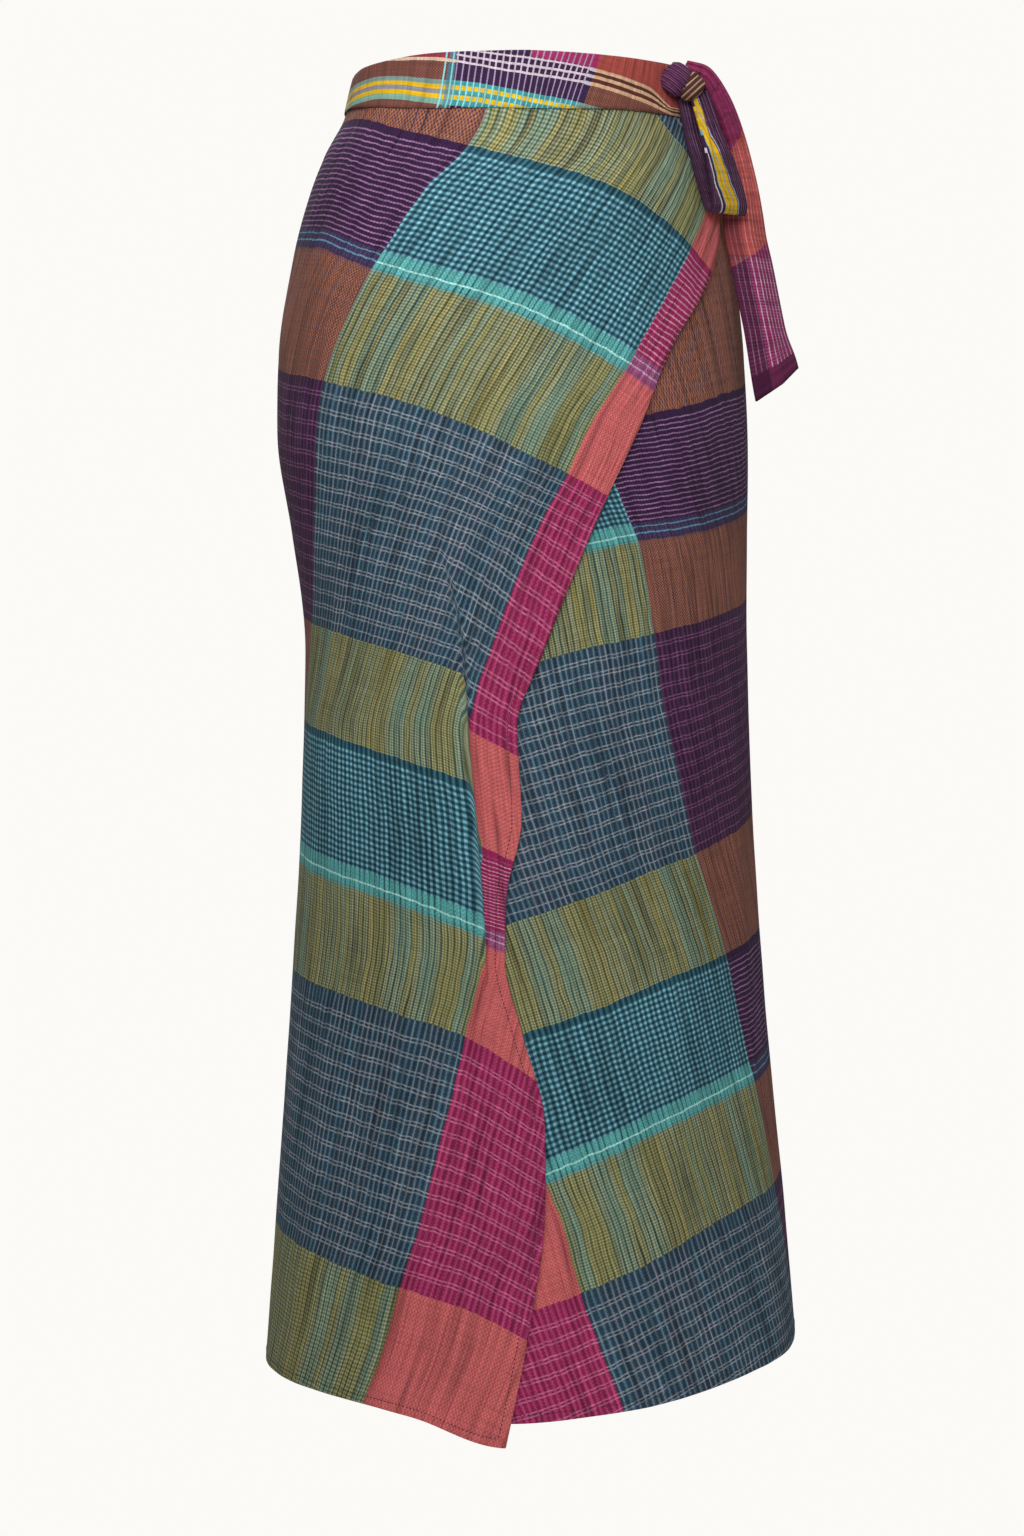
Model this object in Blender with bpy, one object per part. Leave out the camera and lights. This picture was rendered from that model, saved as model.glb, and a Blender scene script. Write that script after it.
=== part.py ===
"""A long wrap skirt of checked cotton, filled out as it is on a waist.

Two panels are joined at the centre back. One passes under the other across the front, and both
hang from a long waistband that is tied in a half bow at the wearer's left front. The origin is the
middle of the waist, at half the waistband's height. The front faces -Y and the wearer's left is +X.
A bearing is an angle round the body in degrees, 0 at the front and growing towards the wearer's left.
A drop is a height below the waistband's top edge. Sizes are in metres.
"""
import math
from collections import namedtuple

import bmesh
import bpy
from mathutils import Matrix, Vector

# How thick a panel, the folded waistband and the folded tie are
CLOTH = 0.0018
BAND_CLOTH = 0.0030
TIE_CLOTH = 0.0026
SEAM_GAP = 0.0003
BAND_SEAM_GAP = 0.0007

# The waistband, and the bearings where the layers begin and end
BAND_HEIGHT = 0.038
CENTRE_BACK = 180.0
HALF_BACK_GAP = 0.07
UNDER_EDGE = -74.0
LIFT_STARTS = -132.0
LIFT_FULL = -86.0
OVER_LIFT = BAND_CLOTH + 2 * SEAM_GAP

# The half bow
TIE_BEARING = 19.0
TIE_WIDTH = 0.038
KNOT_OUT = OVER_LIFT + BAND_CLOTH / 2 + 3 * SEAM_GAP
KNOT_HALF = Vector((0.0125, 0.0100, 0.0185))

# How finely each piece is divided
BACK_COLUMNS = 28
STEP_COLUMNS = 2
FRONT_COLUMNS = 10
PANEL_ROWS = 22
UNDER_COLUMNS = 40
BAND_COLUMNS = 78
BAND_ROWS = 2
TIE_ROWS_PER_SPAN = 3
TIE_COLUMNS = 4
KNOT_SEGMENTS = 16
KNOT_RINGS = 10
SLANT_STEPS = 4

# The body's form: how far it reaches to the wearer's right and left, in front and behind
Section = namedtuple("Section", "drop right left front back")
FORM = (
    Section(0.000, 0.129, 0.129, 0.103, 0.102),
    Section(0.030, 0.131, 0.131, 0.107, 0.107),
    Section(0.060, 0.146, 0.145, 0.112, 0.122),
    Section(0.090, 0.157, 0.154, 0.117, 0.136),
    Section(0.135, 0.168, 0.164, 0.122, 0.150),
    Section(0.195, 0.177, 0.171, 0.128, 0.159),
    Section(0.250, 0.179, 0.172, 0.133, 0.156),
    Section(0.320, 0.169, 0.169, 0.136, 0.145),
    Section(0.400, 0.161, 0.166, 0.142, 0.135),
    Section(0.500, 0.165, 0.168, 0.149, 0.135),
    Section(0.650, 0.175, 0.176, 0.163, 0.139),
    Section(0.800, 0.187, 0.188, 0.182, 0.145),
    Section(0.930, 0.199, 0.200, 0.193, 0.149),
)

# Where the panels are sewn to the waistband, and where their hems hang
Line = namedtuple("Line", "bearing drop")
BAND_SEAM = (
    Line(-180.0, 0.030),
    Line(-105.0, 0.031),
    Line(-55.0, 0.038),
    Line(-30.0, 0.038),
    Line(0.0, 0.035),
    Line(60.0, 0.034),
    Line(180.0, 0.030),
)
OVER_HEM = (
    Line(-180.0, 0.890),
    Line(-100.0, 0.894),
    Line(-75.0, 0.896),
    Line(-60.0, 0.901),
    Line(-41.0, 0.918),
    Line(60.0, 0.921),
)
UNDER_HEM = (
    Line(-80.0, 0.880),
    Line(-60.0, 0.890),
    Line(-40.0, 0.903),
    Line(-20.0, 0.899),
    Line(30.0, 0.889),
    Line(80.0, 0.888),
    Line(180.0, 0.890),
)

# The over panel's free edge falls from the bow to the middle of the hem
Slant = namedtuple("Slant", "drop bearing")
WRAP_EDGE = (
    Slant(0.030, 43.0),
    Slant(0.100, 36.5),
    Slant(0.138, 27.0),
    Slant(0.191, 8.5),
    Slant(0.257, -4.6),
    Slant(0.333, -19.2),
    Slant(0.402, -31.2),
    Slant(0.446, -37.0),
    Slant(0.505, -36.2),
    Slant(0.560, -40.0),
    Slant(0.600, -40.4),
    Slant(0.645, -37.0),
    Slant(0.706, -32.5),
    Slant(0.760, -33.0),
    Slant(0.850, -37.0),
    Slant(0.920, -41.0),
)

# The deep fold at the knee: its crest, and how far it stands out over the cloth beside it
Fold = namedtuple("Fold", "drop bearing height")
KNEE_FOLD = (
    Fold(0.030, -50.0, 0.000),
    Fold(0.310, -54.0, 0.000),
    Fold(0.388, -51.0, 0.004),
    Fold(0.450, -49.8, 0.009),
    Fold(0.530, -47.4, 0.010),
    Fold(0.585, -46.0, 0.007),
    Fold(0.640, -45.0, 0.000),
    Fold(0.920, -50.0, 0.000),
)
FOLD_BACK_REACH = 17.0
FOLD_STEP = 2.4

# Soft waves round the skirt: the bearing of the crest at the hip and at the hem
Wave = namedtuple("Wave", "hip hem reach height")
WAVES = (
    Wave(-150.0, -156.0, 15.0, 0.0040),
    Wave(-108.0, -112.0, 13.0, 0.0022),
    Wave(-20.0, -12.0, 10.0, 0.0018),
    Wave(40.0, 30.0, 13.0, 0.0025),
    Wave(92.0, 88.0, 15.0, 0.0035),
    Wave(140.0, 144.0, 14.0, 0.0040),
)
WAVE_STARTS = 0.30
WAVE_FULL = 0.88

# The tie's course from the knot: places measured round the waist, outwards and down, with the
# angle of its width out from the waist and up from level, how far the width is spread, and the
# height of the crease along its middle
Run = namedtuple("Run", "around out drop turn tilt spread crease")
TIE_LOOP = (
    Run(0.0150, 0.0128, 0.0290, 12.0, 0.0, 0.34, 0.0015),
    Run(0.0215, 0.0150, 0.0480, 8.0, 0.0, 0.58, 0.0010),
    Run(0.0275, 0.0183, 0.0620, 6.0, 0.0, 0.78, 0.0005),
    Run(0.0340, 0.0208, 0.0780, 5.0, 0.0, 0.92, 0.0000),
    Run(0.0398, 0.0230, 0.0915, 5.0, 0.0, 0.98, 0.0000),
    Run(0.0415, 0.0266, 0.0975, 5.0, 0.0, 1.00, 0.0000),
    Run(0.0398, 0.0302, 0.0915, 5.0, 0.0, 0.98, 0.0000),
    Run(0.0340, 0.0308, 0.0780, 5.0, 0.0, 0.90, 0.0000),
    Run(0.0275, 0.0302, 0.0620, 8.0, 0.0, 0.72, 0.0005),
    Run(0.0215, 0.0280, 0.0480, 12.0, 0.0, 0.52, 0.0010),
    Run(0.0165, 0.0235, 0.0300, 16.0, 0.0, 0.34, 0.0015),
)
TIE_TAIL = (
    Run(0.0134, 0.0182, 0.0100, 38.0, 80.0, 0.34, 0.0020),
    Run(0.0280, 0.0225, 0.0080, 36.0, 66.0, 0.40, 0.0035),
    Run(0.0430, 0.0225, 0.0220, 34.0, 34.0, 0.50, 0.0045),
    Run(0.0600, 0.0200, 0.0540, 30.0, 10.0, 0.62, 0.0050),
    Run(0.0700, 0.0205, 0.0850, 28.0, 0.0, 0.76, 0.0060),
    Run(0.0735, 0.0210, 0.1070, 26.0, 0.0, 0.86, 0.0065),
    Run(0.0790, 0.0240, 0.1320, 25.0, 0.0, 0.88, 0.0065),
    Run(0.0849, 0.0300, 0.1720, 25.0, 0.0, 0.88, 0.0065),
    Run(0.0920, 0.0370, 0.2140, 25.0, 0.0, 0.90, 0.0060),
)
TAIL_SLANT = 0.012

# Colours of the cloth, seen from afar
OLIVE = (0.24, 0.21, 0.07, 1.0)
BLUE = (0.05, 0.11, 0.14, 1.0)
PLUM = (0.09, 0.03, 0.08, 1.0)
CORAL = (0.50, 0.09, 0.07, 1.0)
MAGENTA = (0.30, 0.04, 0.12, 1.0)
CLOTH_ROUGHNESS = 0.85


def column(rows, name):
    return [getattr(row, name) for row in rows]


def through(places, values, place):
    """A smooth curve through the table's points that never overshoots between two of them."""
    if place <= places[0]:
        return values[0]
    if place >= places[-1]:
        return values[-1]
    slopes = [(values[k + 1] - values[k]) / (places[k + 1] - places[k]) for k in range(len(places) - 1)]
    k = next(i for i in range(len(slopes)) if place <= places[i + 1])

    def tangent(i):
        if i == 0 or i == len(slopes):
            return slopes[min(i, len(slopes) - 1)]
        before, after = slopes[i - 1], slopes[i]
        return 0.0 if before * after <= 0 else 2 * before * after / (before + after)

    step = places[k + 1] - places[k]
    t = (place - places[k]) / step
    start, end = tangent(k) * step, tangent(k + 1) * step
    rise = values[k + 1] - values[k]
    return values[k] + start * t + (3 * rise - 2 * start - end) * t**2 + (start + end - 2 * rise) * t**3


def read(rows, along, place, name):
    return through(column(rows, along), column(rows, name), place)


def ease(value):
    value = max(0.0, min(1.0, value))
    return value * value * (3 - 2 * value)


def height_of(drop):
    return BAND_HEIGHT / 2 - drop


def form_point(bearing, drop, out=0.0):
    """A point on the body's form, moved outwards by out, square to the section."""
    turn = math.radians(bearing)
    wide = read(FORM, "drop", drop, "left" if math.sin(turn) > 0 else "right")
    deep = read(FORM, "drop", drop, "front" if math.cos(turn) > 0 else "back")
    across = Vector((wide * math.sin(turn), -deep * math.cos(turn), 0))
    normal = Vector((math.sin(turn) / wide, -math.cos(turn) / deep, 0)).normalized()
    return across + normal * out + Vector((0, 0, height_of(drop)))


def wave_height(bearing, drop):
    """How far the soft waves hold both layers off the form."""
    growth = ease((drop - WAVE_STARTS) / (WAVE_FULL - WAVE_STARTS))
    total = 0.0
    for wave in WAVES:
        crest = wave.hip + (wave.hem - wave.hip) * growth
        away = (bearing - crest + 180) % 360 - 180
        total += wave.height * growth * math.exp(-((away / wave.reach) ** 2))
    return total


def fold_height(bearing, drop):
    """The knee fold: a slow rise to its crest, then a short steep step down."""
    crest = read(KNEE_FOLD, "drop", drop, "bearing")
    height = read(KNEE_FOLD, "drop", drop, "height")
    if bearing <= crest:
        return height * math.exp(-(((crest - bearing) / FOLD_BACK_REACH) ** 2))
    return height * (1 - ease((bearing - crest) / FOLD_STEP))


def over_lift(bearing):
    return OVER_LIFT * ease((bearing - LIFT_STARTS) / (LIFT_FULL - LIFT_STARTS))


def over_bearing(part_way, drop):
    """The bearing at a part of the way from the centre back to the free edge, with columns on the fold."""
    start = -CENTRE_BACK + HALF_BACK_GAP
    crest = read(KNEE_FOLD, "drop", drop, "bearing")
    edge = read(WRAP_EDGE, "drop", drop, "bearing")
    columns = BACK_COLUMNS + STEP_COLUMNS + FRONT_COLUMNS
    at = part_way * columns
    if at <= BACK_COLUMNS:
        return start + (crest - start) * at / BACK_COLUMNS
    at -= BACK_COLUMNS
    if at <= STEP_COLUMNS:
        return crest + FOLD_STEP * at / STEP_COLUMNS
    at -= STEP_COLUMNS
    return crest + FOLD_STEP + (edge - crest - FOLD_STEP) * at / FRONT_COLUMNS


def hang(hem, bearing, part_down):
    top = read(BAND_SEAM, "bearing", bearing, "drop") + BAND_SEAM_GAP
    bottom = read(hem, "bearing", bearing, "drop")
    return top + (bottom - top) * part_down


def over_point(part_way, part_down):
    """The slant makes bearing and drop depend on each other, so both are found in a few steps."""
    drop = hang(OVER_HEM, 0.0, part_down)
    for _ in range(SLANT_STEPS):
        bearing = over_bearing(part_way, drop)
        drop = hang(OVER_HEM, bearing, part_down)
    out = over_lift(bearing) + wave_height(bearing, drop) + fold_height(bearing, drop)
    return form_point(bearing, drop, out)


def under_point(part_way, part_down):
    bearing = UNDER_EDGE + (CENTRE_BACK - HALF_BACK_GAP - UNDER_EDGE) * part_way
    drop = hang(UNDER_HEM, bearing, part_down)
    return form_point(bearing, drop, wave_height(bearing, drop))


def band_point(part_way, part_down):
    """The waistband starts inside at the under panel's edge, goes round the back and ends on top."""
    around = UNDER_EDGE + (360.0 + WRAP_EDGE[0].bearing - UNDER_EDGE) * part_way
    bearing = around if around <= CENTRE_BACK else around - 360.0
    drop = read(BAND_SEAM, "bearing", bearing, "drop") * part_down
    lift = over_lift(bearing) if around > CENTRE_BACK else 0.0
    return form_point(bearing, drop, lift)


def bow_axes():
    """The bow's place on the waist's rim, the way round from it and the way out."""
    place = form_point(TIE_BEARING, 0.0)
    out = (form_point(TIE_BEARING, 0.0, 1.0) - place).normalized()
    around = Vector((-out.y, out.x, 0))
    return place, around, out


def bow_point(around, out, drop):
    place, way_round, way_out = bow_axes()
    return place + way_round * around + way_out * out + Vector((0, 0, -drop))


def tie_point(runs, along, across):
    """A point on a tie: along counts the table's rows, and across goes from -1 to 1 over its width."""
    rows = list(range(len(runs)))

    def value(name):
        return through(rows, column(runs, name), along)

    middle = bow_point(value("around"), value("out"), value("drop"))
    _, way_round, way_out = bow_axes()
    turn, tilt = math.radians(value("turn")), math.radians(value("tilt"))
    level_way = way_round * math.cos(turn) + way_out * math.sin(turn)
    width_way = level_way * math.cos(tilt) + Vector((0, 0, math.sin(tilt)))
    face_way = way_out * math.cos(turn) - way_round * math.sin(turn)
    reach = TIE_WIDTH / 2 * value("spread")
    return middle + width_way * (across * reach) + face_way * (value("crease") * (1 - abs(across)))


def tail_point(along, across):
    point = tie_point(TIE_TAIL, along, across)
    end_part = ease(along - (len(TIE_TAIL) - 2))
    return point + Vector((0, 0, TAIL_SLANT * across * end_part))


def material(name, colour):
    made = bpy.data.materials.new(name)
    made.use_nodes = True
    shader = made.node_tree.nodes["Principled BSDF"]
    shader.inputs["Base Color"].default_value = colour
    shader.inputs["Roughness"].default_value = CLOTH_ROUGHNESS
    shader.inputs["Metallic"].default_value = 0.0
    return made


def cloth(name, point, columns, rows, thickness, made_of):
    """A sheet of cloth through point(part of the way across, part of the way down), with a real wall."""
    shape = bmesh.new()
    grid = [
        [shape.verts.new(point(i / columns, j / rows)) for j in range(rows + 1)]
        for i in range(columns + 1)
    ]
    for i in range(columns):
        for j in range(rows):
            shape.faces.new((grid[i][j], grid[i][j + 1], grid[i + 1][j + 1], grid[i + 1][j]))
    mesh = bpy.data.meshes.new(name)
    shape.to_mesh(mesh)
    shape.free()
    mesh.shade_smooth()
    mesh.materials.append(made_of)
    piece = bpy.data.objects.new(name, mesh)
    bpy.context.scene.collection.objects.link(piece)
    wall = piece.modifiers.new("Wall", "SOLIDIFY")
    wall.thickness = thickness
    wall.offset = 0.0
    wall.use_rim = True


def panels():
    over_columns = BACK_COLUMNS + STEP_COLUMNS + FRONT_COLUMNS
    cloth("over_panel", over_point, over_columns, PANEL_ROWS, CLOTH, material("olive_check", OLIVE))
    cloth("under_panel", under_point, UNDER_COLUMNS, PANEL_ROWS, CLOTH, material("blue_check", BLUE))


def waistband():
    cloth("waistband", band_point, BAND_COLUMNS, BAND_ROWS, BAND_CLOTH, material("plum_stripe", PLUM))


def knot():
    """The wraps of the tie, drawn tight into one rounded lump against the waistband."""
    _, way_round, way_out = bow_axes()
    centre = form_point(TIE_BEARING, BAND_HEIGHT / 2, KNOT_OUT + KNOT_HALF.y)
    axes = Matrix((way_round, way_out, Vector((0, 0, 1)))).transposed().to_4x4()
    place = Matrix.Translation(centre) @ axes @ Matrix.Diagonal(KNOT_HALF).to_4x4()
    shape = bmesh.new()
    bmesh.ops.create_uvsphere(
        shape, u_segments=KNOT_SEGMENTS, v_segments=KNOT_RINGS, radius=1.0, matrix=place
    )
    bmesh.ops.recalc_face_normals(shape, faces=shape.faces)
    mesh = bpy.data.meshes.new("tie_knot")
    shape.to_mesh(mesh)
    shape.free()
    mesh.shade_smooth()
    mesh.materials.append(material("plum_tie", PLUM))
    bpy.context.scene.collection.objects.link(bpy.data.objects.new("tie_knot", mesh))


def ties():
    loop_spans = len(TIE_LOOP) - 1
    tail_spans = len(TIE_TAIL) - 1

    def loop(across, down):
        return tie_point(TIE_LOOP, down * loop_spans, 2 * across - 1)

    def tail(across, down):
        return tail_point(down * tail_spans, 2 * across - 1)

    loop_rows = loop_spans * TIE_ROWS_PER_SPAN
    tail_rows = tail_spans * TIE_ROWS_PER_SPAN
    cloth("tie_loop", loop, TIE_COLUMNS, loop_rows, TIE_CLOTH, material("magenta_tie", MAGENTA))
    cloth("tie_tail", tail, TIE_COLUMNS, tail_rows, TIE_CLOTH, material("coral_tie", CORAL))


def main():
    for old in list(bpy.data.objects):
        bpy.data.objects.remove(old, do_unlink=True)
    panels()
    waistband()
    knot()
    ties()


main()
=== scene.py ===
"""A long wrap skirt of yarn-dyed checked cotton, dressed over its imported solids.

The panels are thin turned and stitched cloth, the waistband and the tie are folded strips, and the
plaid is woven from columns and rows charted in the cloth's own metres. A bearing is an angle round
the body in degrees, 0 at the front and growing towards the wearer's left. A drop is a height below
the waistband's top edge. Sizes are in metres.
"""

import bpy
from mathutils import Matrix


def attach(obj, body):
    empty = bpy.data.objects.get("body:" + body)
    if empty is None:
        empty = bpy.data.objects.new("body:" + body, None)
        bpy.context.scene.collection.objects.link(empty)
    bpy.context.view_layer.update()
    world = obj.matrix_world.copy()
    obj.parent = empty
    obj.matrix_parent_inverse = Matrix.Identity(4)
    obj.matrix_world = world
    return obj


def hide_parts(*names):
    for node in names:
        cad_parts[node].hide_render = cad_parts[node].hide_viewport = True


bl_info = {
    "name": "Checked wrap skirt",
    "version": (1, 0, 0),
    "blender": (4, 5, 0),
    "location": "3D View > Sidebar > Skirt",
    "description": "Builds a plaid cotton wrap skirt with its waistband, half bow and stitching",
    "category": "Object",
}

import math
from bisect import bisect_right
from collections import namedtuple
from functools import partial

import bpy
from bpy.props import FloatProperty, FloatVectorProperty, PointerProperty
from mathutils import Vector, noise

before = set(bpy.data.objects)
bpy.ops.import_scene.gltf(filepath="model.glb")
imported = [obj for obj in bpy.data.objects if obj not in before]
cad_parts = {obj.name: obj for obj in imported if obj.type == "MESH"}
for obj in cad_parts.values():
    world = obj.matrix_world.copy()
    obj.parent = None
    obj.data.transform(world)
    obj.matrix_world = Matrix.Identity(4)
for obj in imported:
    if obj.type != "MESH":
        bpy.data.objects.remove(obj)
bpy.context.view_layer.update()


def table(kind, *values):
    """A table's rows, each with the names of its columns."""
    return tuple(kind(*value) for value in values)


# ---------------------------------------------------------------- the skirt's form and cut

# The cloth's thickness, and the waistband's height, middle and half the gap between its layers
CLOTH = 0.0006
BAND_HEIGHT = 0.038
BAND_MIDDLE = 0.02
BAND_HALF_GAP = 0.0012
TIE_WIDTH = 0.038
CENTRE_BACK = 180.0
HALF_BACK_GAP = 0.07
UNDER_EDGE = -74.0
# Where the over panel rises over the under panel's edge, and how far
LIFT_STARTS = -132.0
LIFT_FULL = -86.0
OVER_LIFT = 0.0036
TIE_BEARING = 19.0
# How far the panels' tops reach up inside the waistband
TUCK = 0.004
TAIL_SLANT = 0.012

Section = namedtuple("Section", "drop right left front back")
FORM = table(Section,
    (0.0, 0.129, 0.129, 0.103, 0.102), (0.03, 0.131, 0.131, 0.107, 0.107),
    (0.06, 0.146, 0.145, 0.112, 0.122), (0.09, 0.157, 0.154, 0.117, 0.136),
    (0.135, 0.168, 0.164, 0.122, 0.15), (0.195, 0.177, 0.171, 0.128, 0.159),
    (0.25, 0.179, 0.172, 0.133, 0.156), (0.32, 0.169, 0.169, 0.136, 0.145),
    (0.4, 0.161, 0.166, 0.142, 0.135), (0.5, 0.165, 0.168, 0.149, 0.135),
    (0.65, 0.175, 0.176, 0.163, 0.139), (0.8, 0.187, 0.188, 0.182, 0.145),
    (0.93, 0.199, 0.2, 0.193, 0.149),
)

Line = namedtuple("Line", "bearing drop")
BAND_SEAM = table(Line,
    (-180.0, 0.03), (-105.0, 0.031), (-55.0, 0.038), (-30.0, 0.038), (0.0, 0.035), (60.0, 0.034),
    (180.0, 0.03),
)
OVER_HEM = table(Line,
    (-180.0, 0.89), (-100.0, 0.894), (-75.0, 0.896), (-60.0, 0.901), (-41.0, 0.918), (60.0, 0.921),
)
UNDER_HEM = table(Line,
    (-80.0, 0.88), (-60.0, 0.89), (-40.0, 0.903), (-20.0, 0.899), (30.0, 0.889), (80.0, 0.888),
    (180.0, 0.89),
)

Slant = namedtuple("Slant", "drop bearing")
WRAP_EDGE = table(Slant,
    (0.03, 43.0), (0.1, 36.5), (0.138, 27.0), (0.191, 8.5), (0.257, -4.6), (0.333, -19.2),
    (0.402, -31.2), (0.446, -37.0), (0.505, -36.2), (0.56, -40.0), (0.6, -40.4), (0.645, -37.0),
    (0.706, -32.5), (0.76, -33.0), (0.85, -37.0), (0.92, -41.0),
)

# The knee fold: its crest, how far it stands out, and how much of the cloth's length it swallows
Fold = namedtuple("Fold", "drop bearing height swallowed")
KNEE_FOLD = table(Fold,
    (0.03, -50.0, 0.0, 0.0), (0.31, -54.0, 0.0, 0.0), (0.388, -51.0, 0.004, 0.022),
    (0.45, -49.8, 0.009, 0.037), (0.53, -47.4, 0.01, 0.04), (0.585, -46.0, 0.007, 0.006),
    (0.64, -45.0, 0.0, 0.0), (0.92, -50.0, 0.0, 0.0),
)
FOLD_BACK_REACH = 17.0
FOLD_STEP = 2.4
FOLD_LEAN = 2.6
FOLD_TALLEST = 0.010

Wave = namedtuple("Wave", "hip hem reach height")
WAVES = table(Wave,
    (-150.0, -156.0, 15.0, 0.004), (-108.0, -112.0, 13.0, 0.0022), (-20.0, -12.0, 10.0, 0.0018),
    (40.0, 30.0, 13.0, 0.0025), (92.0, 88.0, 15.0, 0.0035), (140.0, 144.0, 14.0, 0.004),
)
WAVE_STARTS = 0.30
WAVE_FULL = 0.88

# Soft ridges that stand out and troughs that sink in, each along a line on the cloth
Crease = namedtuple("Crease", "bearing drop to_bearing to_drop reach height")
OVER_CREASES = table(Crease,
    (-66.0, 0.30, -57.0, 0.52, 0.012, -0.0010),
    (-40.0, 0.22, -47.0, 0.40, 0.016, -0.0008),
    (-30.0, 0.10, -52.0, 0.30, 0.018, 0.0012),
    (-88.0, 0.40, -78.0, 0.60, 0.020, 0.0014),
    (-62.0, 0.56, -66.0, 0.84, 0.013, 0.0016),
    (-84.0, 0.62, -90.0, 0.90, 0.016, 0.0018),
    (-120.0, 0.20, -126.0, 0.60, 0.018, 0.0012),
    (-140.0, 0.45, -146.0, 0.88, 0.014, 0.0015),
    (-165.0, 0.30, -168.0, 0.85, 0.016, 0.0012),
    (-44.0, 0.66, -46.0, 0.90, 0.010, 0.0012),
)
UNDER_CREASES = table(Crease,
    (-12.0, 0.36, -24.0, 0.60, 0.012, 0.0012),
    (16.0, 0.30, 8.0, 0.58, 0.014, 0.0014),
    (2.0, 0.60, -10.0, 0.88, 0.012, 0.0014),
    (30.0, 0.44, 26.0, 0.86, 0.014, 0.0016),
    (55.0, 0.20, 60.0, 0.60, 0.018, 0.0014),
    (76.0, 0.50, 72.0, 0.88, 0.013, 0.0016),
    (112.0, 0.30, 118.0, 0.86, 0.016, 0.0015),
    (150.0, 0.35, 158.0, 0.86, 0.016, 0.0013),
)
GATHER_HEIGHT = 0.0009
GATHER_FADES = 0.030
CRINKLE_HEIGHT = 0.0007
CALM_BY_SEAM = 4.0
# Uneven puckers: how wide and how tall they are, and which draw of the noise they take
Pucker = namedtuple("Pucker", "wide tall draw")
GATHERS = Pucker(0.007, 0.05, 3.1)
LONG_CRINKLES = Pucker(0.016, 0.11, 7.7)
SHORT_CRINKLES = Pucker(0.045, 0.045, 1.3)
BAND_PUCKERS_ON_TOP = Pucker(0.009, 0.02, 5.0)
BAND_PUCKERS_INSIDE = Pucker(0.009, 0.02, 9.0)
BAND_PUCKER_HEIGHT = 0.00035

# ---------------------------------------------------------------- where the plaid lies on the cloth

# The plaid repeats A, B, A, C down the cloth, and has three columns across it
ROW_A = 0.076
ROW_B = 0.100
ROW_C = 0.170
REPEAT = 2 * ROW_A + ROW_B + ROW_C
TEAL_WIDE = 0.190
PLUM_WIDE = 0.240

# Arc lengths round the body from the front, where the teal column begins and ends
Column = namedtuple("Column", "drop plum red")
OVER_COLUMNS = table(Column,
    (0.03, -0.098, 0.129), (0.049, -0.106, 0.113), (0.069, -0.121, 0.096), (0.089, -0.144, 0.08),
    (0.119, -0.168, 0.054), (0.145, -0.187, 0.031), (0.181, -0.21, 0.002), (0.215, -0.228, -0.024),
    (0.244, -0.237, -0.047), (0.279, -0.243, -0.066), (0.311, -0.25, -0.084),
    (0.357, -0.262, -0.105), (0.387, -0.272, -0.116), (0.417, -0.284, -0.128),
    (0.45, -0.3, -0.135), (0.53, -0.308, -0.131), (0.582, -0.316, -0.132), (0.648, -0.334, -0.149),
    (0.693, -0.348, -0.163), (0.738, -0.362, -0.178), (0.782, -0.378, -0.193),
    (0.815, -0.392, -0.207), (0.856, -0.406, -0.221), (0.898, -0.425, -0.24),
    (0.92, -0.435, -0.25),
)
UNDER_COLUMNS = table(Column,
    (0.03, -0.12, -0.31), (0.15, -0.075, -0.265), (0.285, -0.027, -0.215), (0.331, -0.007, -0.2),
    (0.388, 0.001, -0.188), (0.429, 0.006, -0.18), (0.485, 0.019, -0.165), (0.532, 0.03, -0.152),
    (0.569, 0.045, -0.142), (0.605, 0.059, -0.132), (0.682, 0.079, -0.115), (0.744, 0.098, -0.102),
    (0.774, 0.108, -0.093), (0.818, 0.129, -0.084), (0.86, 0.149, -0.071), (0.9, 0.165, -0.058),
)

# The drop of each line between two rows, at a few bearings
OverRows = namedtuple("OverRows", "bearing c0 a1 b1 a2 c1 a3 b2 a4 c2")
OVER_ROWS = table(OverRows,
    (-180.0, -0.0770, 0.0400, 0.1200, 0.2000, 0.3700, 0.4400, 0.5400, 0.6150, 0.7900),
    (-130.0, -0.0800, 0.0370, 0.1200, 0.2020, 0.3730, 0.4430, 0.5410, 0.6160, 0.7920),
    (-95.0, -0.0785, 0.0385, 0.1260, 0.2125, 0.3820, 0.4510, 0.5485, 0.6225, 0.8000),
    (-70.0, -0.0670, 0.0500, 0.1435, 0.2245, 0.3945, 0.4632, 0.5600, 0.6335, 0.8125),
    (-50.0, -0.0565, 0.0605, 0.1580, 0.2405, 0.4100, 0.4780, 0.5765, 0.6485, 0.8265),
    (-30.0, -0.0455, 0.0715, 0.1755, 0.2660, 0.4370, 0.5040, 0.6040, 0.6860, 0.8600),
    (-10.0, -0.0300, 0.0830, 0.2035, 0.2970, 0.4650, 0.5320, 0.6320, 0.7200, 0.8900),
    (10.0, 0.0320, 0.1070, 0.2360, 0.3300, 0.4900, 0.5600, 0.6600, 0.7500, 0.9200),
    (20.0, 0.0540, 0.1250, 0.2530, 0.3450, 0.5050, 0.5750, 0.6750, 0.7650, 0.9350),
    (30.0, 0.0760, 0.1430, 0.2700, 0.3600, 0.5200, 0.5900, 0.6900, 0.7800, 0.9500),
    (43.0, 0.0980, 0.1660, 0.2900, 0.3800, 0.5400, 0.6100, 0.7100, 0.8000, 0.9700),
)
UnderRows = namedtuple("UnderRows", "bearing a0 b1 a1 c1 a2 b2 a3 c2")
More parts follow.
